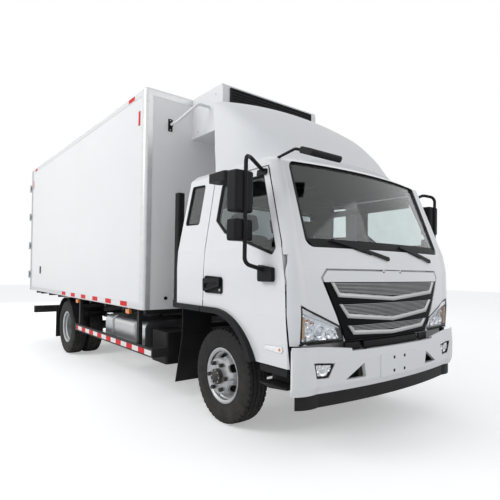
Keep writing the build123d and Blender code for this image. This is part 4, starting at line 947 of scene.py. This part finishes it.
def fairing_skin(inset):
    """Points column by column from the right foot to the left foot, each from the tail to the front."""
    shares = [number / FAIRING_SHARES for number in range(FAIRING_SHARES)]
    across = [(share, -1) for share in shares] + [(1.0, 1)] + [(share, 1) for share in shares[::-1]]
    front = FAIRING[-1][0] - inset
    points = []
    for share, sign in across:
        tail = TAIL_GUESS
        for _ in range(TAIL_ROUNDS):
            tail = TAIL_X - (fairing_point(tail, share, inset)[1] - TAIL_Z) * TAIL_SLANT
        for row in range(FAIRING_ROWS + 1):
            x = tail + (front - tail) * row / FAIRING_ROWS
            y, z = fairing_point(x, share, inset)
            points.append((FX + x, y * sign, z))
    return points


fairing = Builder()
tall = FAIRING_ROWS + 1
wide = 2 * FAIRING_SHARES + 1
layer = wide * tall
faces = []
for base in (0, layer):
    for column in range(wide - 1):
        for row in range(FAIRING_ROWS):
            corner = base + column * tall + row
            faces.append([corner, corner + tall, corner + tall + 1, corner + 1])
    faces.append([base + column * tall + FAIRING_ROWS for column in range(wide)])
for corner in range(0, layer - tall, tall):
    faces.append([corner, layer + corner, layer + corner + tall, corner + tall])
for foot in (0, layer - tall):
    for corner in range(foot, foot + FAIRING_ROWS):
        faces.append([corner, corner + 1, layer + corner + 1, layer + corner])
faces.append([FAIRING_ROWS, layer - 1, 2 * layer - 1, layer + FAIRING_ROWS])
fairing.add(fairing_skin(0.0) + fairing_skin(FAIRING_SKIN), faces)
shell = fairing.make("fairing_shell", SHELL_WHITE, "cab", "white_paint", smooth_angle=40)
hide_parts("roof_fairing")


# Finishes on parts of a node
LUG_Y, LUG_HALF, LUG_TOP = 0.365, 0.03, 0.81
MARKER_Y = 1.09
LINING_HALF = 0.97
# Heights at which the dark foot of the front ends, the painted shade low on its corners, the lining and the
# lid's dark foot
FRONT_FOOT, CORNER_FOOT, INSIDE_FOOT, LID_FOOT = 0.766, 0.83, 0.9, 0.80
FOOT_HALF = 0.53
NOTCH_FROM, NOTCH_TO = 1.16, 1.36
HUB_RADIUS, REAR_HUB_RADIUS, DRUM_RADIUS = 0.066, 0.085, 0.170
NUTS_FROM, NUTS_TO = 0.088, 0.135
HUB_STANDS = 0.036


def paint(name, finish, test):
    """Gives a finish to the faces of a node that pass a test."""
    mesh = NODES[name].data
    mesh.materials.append(finish)
    number = len(mesh.materials) - 1
    for face in mesh.polygons:
        if test(face):
            face.material_index = number


def off_axle(face, axle_x):
    """Distance of a face from a wheel's axis."""
    return math.hypot(face.center.x - axle_x, face.center.z - WHEEL_Z)


def out(face):
    """Distance of a face from the truck's middle."""
    return abs(face.center.y)


def wheel_face(side):
    """Distance of a front wheel's outer face from the truck's middle."""
    low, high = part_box("front_wheel_" + side)
    return max(abs(low.y), abs(high.y))


paint("chassis_lamps", LAMP_BRIGHT, lambda face: face.center.x > FX)
paint("chassis_lamps", AMBER_LENS, lambda face: out(face) > MARKER_Y)
paint("cab_front", CHASSIS, lambda face: face.center.z < LUG_TOP and abs(out(face) - LUG_Y) < LUG_HALF)
paint("cab_roof", TRIM, lambda face: face.normal.z < -0.4)
paint("cab_back", TRIM, lambda face: face.normal.x > 0.4 and out(face) < LINING_HALF)
paint("cab_front", TRIM, lambda face: face.normal.x < -0.3 and face.center.z > INSIDE_FOOT)
# Faces low on the cab front's corners that look backwards or down take the dark seal colour: painted shade in
# the door seam and under the corners
paint("cab_front", SEAL, lambda face: face.center.z < CORNER_FOOT and min(face.normal.xz) < -0.3)
paint("cab_front", SEAL, lambda face: face.center.z < FRONT_FOOT and out(face) < FOOT_HALF)
paint("front_flap", GRILLE_BLACK, lambda face: face.center.z < LID_FOOT)
for side, sign in SIDES:
    door, front, rear = "door_panel_" + side, "front_wheel_" + side, "rear_wheels_" + side
    paint(door, TRIM, lambda face: face.normal.y * sign < -0.5)
    # The door's front and rear edge faces take the dark seal colour: partly the rubber seal, partly painted
    # shade that darkens the door gaps; the notch is left out
    paint(door, SEAL, lambda face: abs(face.normal.x) > 0.8 and not NOTCH_FROM < face.center.z < NOTCH_TO)
    hub_y = wheel_face(side) - HUB_STANDS
    drum = abs(FRONT_TYRE_Y) + 0.034
    paint(front, IRON, lambda face: off_axle(face, FX) < HUB_RADIUS and out(face) > hub_y - 0.02)
    paint(front, IRON, lambda face: NUTS_FROM < off_axle(face, FX) < NUTS_TO and out(face) > hub_y + 0.003)
    paint(front, IRON, lambda face: off_axle(face, FX) < DRUM_RADIUS and out(face) < drum)
    rear_drum = (REAR_LOW.y + REAR_HIGH.y) / 2 - 0.024
    paint(rear, IRON, lambda face: off_axle(face, RX) < REAR_HUB_RADIUS)
    paint(rear, IRON, lambda face: off_axle(face, RX) < DRUM_RADIUS and out(face) < rear_drum)


def stud(builder, find, spot, lift, radius, height, tone, sides):
    """Round head on a surface, lifted from it."""
    place, way = find(spot)
    builder.dome(place + way * lift, way, radius, height, tone, sides)


# Dark seals along the cab's lower edge, under the headlamps
find_edge = from_front("cab_front", "headlamps")
lower_seal = Builder()
for y_from, y_to in ((-0.936, -0.530), (0.530, 0.936)):
    strip = [Vector(corner) for corner in rectangle(y_from, 0.7582, y_to, 0.7710)]
    panel(lower_seal, find_edge, dense(strip, 0.02), -0.001, 0.0015)
lower_seal.make("lower_seals", SEAL, "cab", "black_plastic", smooth_angle=SEAL_SMOOTH)


# Hub caps with bolts, and valves on the front wheels
HUB_BOLTS = 8
BOLT_CIRCLE = 0.051
CAP_PROFILE = ((0, 0.012), (0.022, 0.011), (0.034, 0.007), (0.040, 0.0), (0, 0.0))
for side, sign in SIDES:
    face_y = wheel_face(side)
    hub = Builder()
    hub.turned((FX, sign * face_y, WHEEL_Z), (0, sign, 0), CAP_PROFILE, 0, sides=32)
    for x, z, _ in circle(BOLT_CIRCLE, 0, HUB_BOLTS):
        hub.dome((FX + x, sign * face_y, WHEEL_Z + z), (0, sign, 0), 0.0065, 0.005, 1, sides=6)
    valve_foot = (FX + 0.178, sign * (face_y - 0.065), WHEEL_Z)
    hub.rod(valve_foot, (FX + 0.166, sign * (face_y - 0.022), WHEEL_Z), 0.004, 1, sides=10)
    hub.make("hub_cap_" + side, [IRON, STEEL], "front_wheel_" + side, "iron")


# Bumper: blank plate pad with dark discs painted as the shade in its bolt holes, a lip up to the cab, fog
# lamps and their rims
PAD = rectangle(-0.165, 0.497, 0.165, 0.640)
PAD_HOLE_SHADES = rectangle(-0.0675, 0.518, 0.0675, 0.616)
# Lip along the bumper's sloped ends: distance from the middle, bumper top, lip top
LIP = (
    (0.522, 0.715, 0.722), (0.60, 0.719, 0.731), (0.70, 0.7235, 0.741), (0.80, 0.728, 0.749),
    (0.90, 0.7325, 0.754), (0.935, 0.734, 0.7555), (0.965, 0.7355, 0.7565), (0.985, 0.736, 0.7565),
    (1.000, 0.736, 0.7565),
)
# End of the lip on the bumper's side: distance ahead of the axle, height, lip top
LIP_END = (0.930, 0.730, 0.7560)
LIP_THICK = 0.011
# Lip from its foot inside over the top: share of the thickness inwards, share of the height
LIP_SECTION = ((1.0, 0.0), (0.02, 0.0), (0.02, 0.9), (0.3, 1.0), (1.0, 1.0))
FOG = ((0.680, 0.635), (0.870, 0.652), (0.840, 0.545), (0.735, 0.540))
FOG_LIFT = 0.0004
# Bowls of the fog lamp: shift from its middle, radius, height
FOG_CUPS = (((0, 0), 0.036, 0.006), ((-0.052, 0.006), 0.016, 0.005), ((0.05, 0.006), 0.016, 0.005))
find_bumper = from_front("front_bumper")
find_fog = from_front("chassis_lamps")
bumper = Builder()
panel(bumper, find_bumper, outline_of(PAD, 0.008, 0.03), -0.002, 0.0004, 0)
# Dark discs where the pad's bolt holes are: painted shade of the holes
for y, z in PAD_HOLE_SHADES:
    place, way = find_bumper((y + 0.012, z))
    bumper.dome(Vector((place.x, y, z)) + way * 0.0003, way, 0.0135, 0.0003, 1, sides=20)
for side, sign in SIDES:
    spots = [(find_bumper((sign * y, base - 0.006)), top) for y, base, top in LIP]
    spots.append((from_side(sign, "front_bumper")((FX + LIP_END[0], LIP_END[1])), LIP_END[2]))
    loops = []
    for (place, way), top in spots:
        level = Vector((way.x, way.y, 0)).normalized() * LIP_THICK
        rise = Vector((0, 0, top - place.z))
        loops.append([place - level * depth + rise * share for depth, share in LIP_SECTION])
    bumper.sweep(loops, 0)
    corners = [Vector((y * sign, z)) for y, z in FOG]
    middle = sum(corners, Vector((0, 0))) / len(FOG)
    outline = outline_of([middle + (corner - middle) * 0.965 for corner in corners], 0.02, 0.015)
    frame_band(bumper, find_fog, outline, 0.013, 0.008, 0.004, 2)
    stud(bumper, find_fog, middle, 0.0012, 0.022, 0.006, 4, 24)
    for shift, radius, height in FOG_CUPS:
        place, way = find_fog(middle + Vector(shift))
        bumper.cup(place + way * FOG_LIFT, way, radius, height, 3)
BUMPER_FINISHES = [WHITE_PAINT, SEAL, BLACK, LAMP_BRIGHT, CLEAR_BULB]
bumper.make("bumper_fittings", BUMPER_FINISHES, "chassis", "white_paint")


# Tail lamps: three lenses in a dark frame on each side
# Inner edge, outer edge, material number
TAIL_LENSES = ((0.735, 0.835, 0), (0.845, 0.935, 1), (0.945, 1.025, 2))
TAIL_ROWS, TAIL_COLUMNS = 5, 6
find_tail = from_behind(BEHIND, "chassis_lamps")
tail = Builder()
for side, sign in SIDES:
    outline = outline_of(rectangle(sign * 0.722, 0.457, sign * 1.038, 0.543), 0.012, 0.03)
    frame_band(tail, find_tail, outline, 0.009, 0.008, 0.006, 3)
    for y_in, y_out, tone in TAIL_LENSES:
        lens = outline_of(rectangle(sign * y_in, 0.470, sign * y_out, 0.530), 0.010, 0.03)
        panel(tail, find_tail, lens, 0.0, 0.006, tone)
        for row in range(TAIL_ROWS):
            for column in range(TAIL_COLUMNS):
                y = y_in + (y_out - y_in) * (column + 0.5) / TAIL_COLUMNS
                stud(tail, find_tail, (sign * y, 0.4755 + 0.0122 * row), 0.0058, 0.0055, 0.0022, tone, 8)
TAIL_FINISHES = [RED_LENS, AMBER_LENS, CLEAR_BULB, SEAL]
tail.make("tail_lenses", TAIL_FINISHES, "chassis", "lamp")


# Doors: mirror glass on the rear of each head, dark bezels round the handles, side lamps low down
# Heads: low, high, half width
HEADS = ((1.634, 1.912, 0.094), (1.442, 1.588, 0.096))
HEAD_RIM = 0.022
GLASS_MARGIN = 0.020
MIRROR_Y = 1.193
HANDLE = ((-0.090, 1.062), (0.158, 1.062), (0.158, 1.192), (-0.090, 1.202))
LOCK_PROFILE = ((0, 0.006), (0.009, 0.006), (0.011, 0.004), (0.011, 0.0), (0, 0.0))
SIDE_LAMP = ((0.655, 0.708), (0.655, 0.742), (0.830, 0.752), (0.845, 0.722), (0.820, 0.700))
SIDE_BULBS = 5
for side, sign in SIDES:
    body = "door_" + side
    glass = Builder()
    find_head = from_behind(FX - 0.5, "door_fittings_" + side)
    for low, high, half in HEADS:
        y_in, y_out = sign * (MIRROR_Y - half + HEAD_RIM), sign * (MIRROR_Y + half - HEAD_RIM)
        outline = outline_of(rectangle(y_in, low + GLASS_MARGIN, y_out, high - GLASS_MARGIN), 0.02, 0.03)
        panel(glass, find_head, outline, 0.0, 0.0012, 0)
        frame_band(glass, find_head, shrunk(outline, -0.007), 0.0075, 0.003, 0.0012, 1)
    glass.make("mirror_glass_" + side, [MIRROR, SEAL], body, "glass")

    bezel = Builder()
    find_door = from_side(sign, "door_panel_" + side)
    outline = outline_of(from_axle(HANDLE), 0.026, 0.03)
    panel(bezel, find_door, outline, -0.001, 0.005, 0)
    frame_band(bezel, find_door, outline, 0.016, 0.012, 0.006, 0)
    place, way = find_door((FX + 0.125, 1.092))
    bezel.turned(place + way * 0.005, way, LOCK_PROFILE, 1)
    bezel.make("handle_bezel_" + side, [BLACK, STEEL], body, "black_plastic")

    lamp = Builder()
    outline = outline_of(from_axle(SIDE_LAMP), 0.012, 0.02)
    panel(lamp, find_door, outline, -0.001, 0.004, 0)
    panel(lamp, find_door, shrunk(outline, 0.005), 0.003, 0.0075, 1)
    for number in range(SIDE_BULBS):
        tone = 2 if number == SIDE_BULBS - 1 else 1
        stud(lamp, find_door, (FX + 0.685 + 0.031 * number, 0.7265), 0.007, 0.011, 0.0035, tone, 14)
    lamp.make("side_lamp_" + side, [CHROME, LIGHT_GUIDE, AMBER_LENS], body, "lamp")


# Windscreen wiper blades: pivot Y, tip Y, tip height
WIPERS = ((-0.060, -0.620, 1.470), (0.600, 0.130, 1.452))
PIVOT_Z = 1.350
BLADE_STEPS = 14
# Share of the way to the tip at which a blade starts, and its length as such a share
BLADE_FROM, BLADE_LONG = 0.34, 0.69
BLADE_UNDER_ARM = 0.017
BLADE_HALF = Vector((0, 0, 0.004))
BLADE_DEEP = 0.012
find_screen = from_front("cab_glass", "cab_front")
blades = Builder()
for pivot_y, tip_y, tip_z in WIPERS:
    sections = []
    for step in range(BLADE_STEPS + 1):
        share = BLADE_FROM + BLADE_LONG * step / BLADE_STEPS
        z = PIVOT_Z + (tip_z - PIVOT_Z) * share - BLADE_UNDER_ARM
        place, way = find_screen((pivot_y + (tip_y - pivot_y) * share, z))
        top = place + way * BLADE_DEEP
        foot = BLADE_HALF * 0.4
        sections.append([place - foot, place + foot, top + BLADE_HALF, top - BLADE_HALF])
    blades.sweep(sections, 0)
blades.make("wiper_blades", SEAL, "cab", "black_plastic", smooth_angle=SEAL_SMOOTH)


# Box: rivets along the profiles, red strips near the corners, door catches and seals on the rear doors
RIVET_STEP = 0.16
RIVET = {"radius": 0.0065, "height": 0.0028, "sides": 8}
RIVET_IN = 0.06
# Single red strips near the top corners of the box sides: low X, low Z, high X, high Z
CORNER_STRIPS = (
    (FX - 1.175, 2.670, FX - 1.130, 2.815),
    (FX - 1.420, 2.958, FX - 1.270, 2.998),
    (BOX_REAR + 0.165, 2.670, BOX_REAR + 0.210, 2.815),
    (BOX_REAR + 0.300, 2.958, BOX_REAR + 0.450, 2.998),
)
CATCH = rectangle(-5.14, 1.150, -5.06, 1.275)
SEAL_WIDE = 0.016


def spread(low, high):
    """Evenly spaced values from low to high, about a rivet step apart."""
    count = int((high - low) / RIVET_STEP)
    return [low + (high - low) * number / count for number in range(count + 1)]


rivets = Builder()
rivet_rows = spread(BOX_LOW.z + 0.15, BOX_HIGH.z - 0.15)
find_profile_front = from_front("box_profiles")
for side, sign in SIDES:
    find_profile = from_side(sign, "box_profiles")
    spots = [(x, BOX_HIGH.z - 0.03) for x in spread(BOX_LOW.x + 0.05, BOX_HIGH.x - 0.05)]
    spots += [(BOX_HIGH.x - 0.028, z) for z in rivet_rows]
    for found in map(find_profile, spots):
        if found and abs(found[0].y) > BOX_SIDE - RIVET_IN:
            rivets.dome(*found, **RIVET)
    for z in rivet_rows:
        found = find_profile_front((sign * (BOX_SIDE - 0.03), z))
        if found and found[0].x > BOX_HIGH.x - RIVET_IN:
            rivets.dome(*found, **RIVET)
    find_wall = from_side(sign, "box_side_walls", "box_profiles")
    for corners in CORNER_STRIPS:
        panel(rivets, find_wall, rounded(rectangle(*corners), 0.004), -0.0005, 0.001, 1)
    catch = outline_of(from_axle(CATCH), 0.012, 0.03)
    panel(rivets, find_wall, catch, -0.001, 0.004, 2)
    panel(rivets, find_wall, shrunk(catch, 0.022), 0.003, 0.0066, 2)
    for z in (1.165, 1.26):
        stud(rivets, find_wall, (FX - 5.10, z), 0.004, 0.006, 0.0022, 0, 8)
    door_low, door_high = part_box("rear_door_" + side)
    find_rear = from_behind(BEHIND, "rear_door_" + side)
    edge = outline_of(rectangle(door_low.y, door_low.z, door_high.y, door_high.z), 0.015, 0.08)
    rubber = Builder()
    frame_band(rubber, find_rear, shrunk(edge, 0.002), SEAL_WIDE, 0.004, 0.0015, 0)
    rubber.make("rear_seal_" + side, SEAL, "rear_door_" + side, "black_plastic", smooth_angle=SEAL_SMOOTH)
rivets.make("box_trim", [ALUMINIUM, TAPE_RED, BLACK], "chassis", "bare_aluminium")


# Cooling unit: fixing bolts, a clamp where the pipe meets the box's front wall, and a drain low down
UNIT_LOW, UNIT_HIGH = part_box("cooling_unit")
# Y and Z on the front wall
PIPE_END = (-0.881, 2.697)
DRAIN = (-0.902, 0.960)
PIPE_PROFILE = ((0, 0.022), (0.020, 0.022), (0.023, 0.018), (0.023, 0.0), (0, 0.0))
DRAIN_PROFILE = ((0, 0.004), (0.009, 0.004), (0.012, 0.010), (0.017, 0.010), (0.018, 0.0), (0, 0.0))
unit = Builder()
middle_x = (max(UNIT_LOW.x, BOX_HIGH.x) + UNIT_HIGH.x) / 2
for side, sign in SIDES:
    find_unit = from_side(sign, "cooling_unit")
    for shift_x in (-0.16, 0.16):
        for z in (UNIT_HIGH.z - 0.07, UNIT_HIGH.z - 0.36):
            found = find_unit((middle_x + shift_x, z))
            if found:
                unit.dome(*found, 0.009, 0.005, 1, sides=6)
find_front_wall = from_front("box_front_wall", "box_profiles")
pipe_y, pipe_z = PIPE_END
clamp = rectangle(pipe_y - 0.024, pipe_z - 0.062, pipe_y + 0.024, pipe_z + 0.062)
panel(unit, find_front_wall, outline_of(clamp, 0.008, 0.03), -0.001, 0.005, 0)
for shift in (-0.046, 0.046):
    stud(unit, find_front_wall, (pipe_y, pipe_z + shift), 0.005, 0.008, 0.005, 1, 6)
for spot, lift, profile in ((PIPE_END, 0.004, PIPE_PROFILE), (DRAIN, 0.0, DRAIN_PROFILE)):
    place, way = find_front_wall(spot)
    unit.turned(place + way * lift, way, profile, 0)
unit.make("unit_bolts", [BLACK, STEEL], "chassis", "steel")


# Fuel tank straps round the tank's own section
STRAP_HALF = 0.022
STRAP_THICK = 0.004
TANK_LOW, TANK_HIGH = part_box("fuel_tank")
tank_long = TANK_HIGH.x - TANK_LOW.x
tank_middle = (TANK_LOW + TANK_HIGH) / 2
section = {}
for vert in NODES["fuel_tank"].data.vertices:
    spoke = Vector((0, vert.co.y - tank_middle.y, vert.co.z - tank_middle.z))
    if abs(vert.co.x - tank_middle.x) > tank_long * 0.3 and spoke.length > 0.1:
        section[round(math.atan2(spoke.z, spoke.y), 3)] = spoke
tank = Builder()
for share in (0.22, 0.78):
    middle = Vector((TANK_LOW.x + tank_long * share, tank_middle.y, tank_middle.z))
    half = Vector((STRAP_HALF, 0, 0))
    loops = []
    for angle in sorted(section):
        inner = middle + section[angle]
        outer = inner + section[angle].normalized() * STRAP_THICK
        loops.append([inner - half, outer - half, outer + half, inner + half])
    tank.sweep(loops, 0, closed=True)
tank.make("tank_straps", STEEL, "chassis", "steel", smooth_angle=SEAL_SMOOTH)


# Studs on the steps: columns and rows of each step
STUDS = (12, 4)
studs = Builder()
find_top = from_above(0.545, "steps_and_flares")
for side, sign in SIDES:
    for column in range(STUDS[0]):
        for row in range(STUDS[1]):
            found = find_top((FX + 0.63 + 0.02 * column, sign * (0.895 + 0.025 * row)))
            if found and found[1].z > 0.9:
                studs.dome(found[0], (0, 0, 1), 0.006, 0.003, 0, sides=8)
studs.make("step_studs", BLACK, "cab", "black_plastic")


# Seats: crowned cushions with sewn channels on plastic bases
PAD_CUTS = 15
PAD_ROUND = 7
CHANNEL_DEEP, CHANNEL_HALF = 0.010, 0.035
SEAM_DEEP, SEAM_HALF = 0.005, 0.03
SEAM_ACROSS, SEAM_ALONG = 0.82, 0.84


def groove(value, middle, half):
    """Depth share of a soft groove: 1 at its middle, falling off on both sides."""
    return math.exp(-(((value - middle) / half) ** 2))


def pad(builder, centre, size, lean, crown, channels):
    """Soft crowned form: length, width and thickness along its own axes, leaned round Y."""
    form = bmesh.new()
    bmesh.ops.create_cube(form, size=2.0)
    bmesh.ops.subdivide_edges(form, edges=form.edges[:], cuts=PAD_CUTS, use_grid_fill=True)
    for vert in form.verts:
        soft = sum(abs(part) ** PAD_ROUND for part in vert.co) ** (1 / PAD_ROUND)
        a, b, c = vert.co / soft
        top = max(0.0, c)
        pull = 1 - 0.035 * (1 - c * c)
        rise = crown * top * (1 - a**4) * (1 - b**4)
        for place in channels:
            rise -= CHANNEL_DEEP * top * groove(b, place, CHANNEL_HALF) * (1 - a**8)
        seam = groove(abs(b), SEAM_ACROSS, SEAM_HALF) + groove(abs(a), SEAM_ALONG, SEAM_HALF)
        rise -= SEAM_DEEP * top * min(1.0, seam)
        vert.co = (a * size[0] / 2 * pull, b * size[1] / 2 * pull, c * size[2] / 2 + rise)
    builder.take(form, 0, Matrix.Translation(Vector(centre)) @ Matrix.Rotation(lean, 4, "Y"))


LEAN = math.radians(-104)
# Middle Y, width, sewn channels as shares of the half width
SEATS = ((0.43, 0.49, (-0.42, 0.0, 0.42)), (-0.43, 0.49, (-0.42, 0.0, 0.42)), (0.0, 0.32, (0.0,)))
pads = Builder()
bases = Builder()
for seat_y, width, channels in SEATS:
    pad(pads, (FX + 0.04, seat_y, 1.122), (0.51, width, 0.115), 0.0, 0.018, channels)
    pad(pads, (FX - 0.252, seat_y, 1.375), (0.43, width, 0.095), LEAN, 0.014, channels)
    pad(pads, (FX - 0.335, seat_y, 1.700), (0.155, width * 0.56, 0.085), LEAN, 0.008, ())
    for y in (seat_y - 0.055, seat_y + 0.055):
        bases.rod((FX - 0.292, y, 1.56), (FX - 0.325, y, 1.66), 0.006, 1, sides=10)
    half = width / 2 - 0.06
    bases.block((FX - 0.15, seat_y - half, 0.962), (FX + 0.21, seat_y + half, 1.072), 0, 0.012)
seat_pads = pads.make("seat_pads", CLOTH, "cab", "seat_cloth", smooth_angle=80)
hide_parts("seats")
bases.make("seat_bases", [BLACK, STEEL], "cab", "black_plastic")


# Dashboard: instrument hood, screen and vents
HOOD = ((0.27, 1.235), (0.59, 1.235), (0.56, 1.318), (0.30, 1.318))
DISPLAY = rectangle(-0.16, 1.215, 0.14, 1.312)
VENTS = (-0.80, -0.62, 0.70, 0.82)
VENT_HALF = 0.06
SLATS = (1.256, 1.270, 1.284)
find_dash = from_behind(FX + 0.3, "dashboard")
dash = Builder()
hood = outline_of(HOOD, 0.03, 0.03)
panel(dash, find_dash, hood, -0.002, 0.020, 0)
panel(dash, find_dash, shrunk(hood, 0.014), 0.019, 0.0215, 1)
display = outline_of(DISPLAY, 0.012, 0.03)
panel(dash, find_dash, display, -0.002, 0.010, 0)
panel(dash, find_dash, shrunk(display, 0.010), 0.009, 0.0112, 1)
for y in VENTS:
    vent = outline_of(rectangle(y - VENT_HALF, 1.24, y + VENT_HALF, 1.30), 0.012, 0.03)
    frame_band(dash, find_dash, vent, 0.012, 0.008, 0.004, 0)
    for z in SLATS:
        path = [find_dash((y + shift, z)) for shift in (-0.045, 0.0, 0.045)]
        dash.bar([entry[0] for entry in path], 0.004, 0.006, path[0][1], 0)
dash.make("dash_fittings", [DASH, SCREEN_GLASS], "cab", "dash")


# Camera at the photograph's angle
IMAGE_SIDE = 500.0
CAMERA_AT = Vector((FX + 2.948, -2.937, 1.241))
FOCAL_PIXELS = 436.256
CENTRE_PIXEL = (255.387, 266.677)
YAW, PITCH, ROLL = (math.radians(angle) for angle in (38.776, 0.617, 0.851))
SENSOR = 36.0
ahead = Vector((-math.cos(YAW) * math.cos(PITCH), math.sin(YAW) * math.cos(PITCH), math.sin(PITCH)))
across = ahead.cross(Vector((0, 0, 1))).normalized()
above = across.cross(ahead)
turned_right = math.cos(ROLL) * across + math.sin(ROLL) * above
turned_up = math.cos(ROLL) * above - math.sin(ROLL) * across
camera_data = bpy.data.cameras.new("camera")
camera = bpy.data.objects.new("camera", camera_data)
bpy.context.scene.collection.objects.link(camera)
camera.matrix_world = Matrix(
    (
        (turned_right.x, turned_up.x, -ahead.x, CAMERA_AT.x),
        (turned_right.y, turned_up.y, -ahead.y, CAMERA_AT.y),
        (turned_right.z, turned_up.z, -ahead.z, CAMERA_AT.z),
        (0, 0, 0, 1),
    )
)
camera_data.sensor_width = SENSOR
camera_data.lens = FOCAL_PIXELS / IMAGE_SIDE * SENSOR
camera_data.shift_x = (IMAGE_SIDE / 2 - CENTRE_PIXEL[0]) / IMAGE_SIDE
camera_data.shift_y = (CENTRE_PIXEL[1] - IMAGE_SIDE / 2) / IMAGE_SIDE
bpy.context.scene.camera = camera

# Floor: white to the camera like the backdrop, and it keeps the shadow
FLOOR_HALF = 30.0
FLOOR_LIFT = 0.36
WHITE = (1.0, 1.0, 1.0, 1.0)
floor_mesh = bpy.data.meshes.new("floor")
floor_corners = rectangle(-FLOOR_HALF, -FLOOR_HALF, FLOOR_HALF, FLOOR_HALF)
floor_mesh.from_pydata([(x, y, 0) for x, y in floor_corners], [], [[0, 1, 2, 3]])
floor = bpy.data.objects.new("floor", floor_mesh)
bpy.context.scene.collection.objects.link(floor)
pale = surface("pale_floor", (0.86, 0.86, 0.86), 0.9, patchy=0.01, patch_scale=0.4, specular=0.1)
floor_mesh.materials.append(pale)
tree = pale.node_tree
glow = node(tree, "ShaderNodeEmission", Color=WHITE)
seen_by = tree.nodes.new("ShaderNodeLightPath")
lift = maths(tree, "MULTIPLY")
lift.inputs[1].default_value = FLOOR_LIFT
joined = tree.nodes.new("ShaderNodeAddShader")
links(
    tree,
    (seen_by, "Is Camera Ray", lift, 0),
    (lift, "Value", glow, "Strength"),
    (tree.nodes["Principled BSDF"], "BSDF", joined, 0),
    (glow, "Emission", joined, 1),
    (joined, "Shader", tree.nodes["Material Output"], "Surface"),
)

# World: soft light, and a white backdrop for camera, glossy and transmitted rays
WORLD_COLOR = (0.95, 0.97, 1.0, 1.0)
WORLD_STRENGTH = 0.62
world = bpy.data.worlds.new("studio")
bpy.context.scene.world = world
world.use_nodes = True
tree = world.node_tree
background = tree.nodes["Background"]
background.inputs["Color"].default_value = WORLD_COLOR
background.inputs["Strength"].default_value = WORLD_STRENGTH
shown = node(tree, "ShaderNodeBackground", Color=WHITE, Strength=1.0)
rays = tree.nodes.new("ShaderNodeLightPath")
either = maths(tree, "MAXIMUM")
any_ray = maths(tree, "MAXIMUM")
mixed = tree.nodes.new("ShaderNodeMixShader")
links(
    tree,
    (rays, "Is Camera Ray", either, 0),
    (rays, "Is Glossy Ray", either, 1),
    (either, "Value", any_ray, 0),
    (rays, "Is Transmission Ray", any_ray, 1),
    (any_ray, "Value", mixed, "Fac"),
    (background, "Background", mixed, 1),
    (shown, "Background", mixed, 2),
    (mixed, "Shader", tree.nodes["World Output"], "Surface"),
)
# Lamps: name, place, aim, power
LAMPS = (
    ("key", (-1.0, -9.0, 7.0), (0.3, 0.0, 1.4), 430.0),
    ("fill", (FX + 6.5, 4.0, 4.0), (FX, 0.0, 1.2), 60.0),
    ("back", (BOX_REAR - 6.0, 2.0, 6.0), (0.0, 0.0, 1.5), 260.0),
)
LAMP_SIZE = 5.0
for name, place, aim, power in LAMPS:
    data = bpy.data.lights.new(name, "AREA")
    data.size = LAMP_SIZE
    data.energy = power
    lamp = bpy.data.objects.new(name, data)
    lamp.location = place
    lamp.rotation_mode = "QUATERNION"
    lamp.rotation_quaternion = (Vector(aim) - Vector(place)).to_track_quat("-Z", "Y")
    bpy.context.scene.collection.objects.link(lamp)
bpy.context.scene.view_settings.view_transform = "Standard"
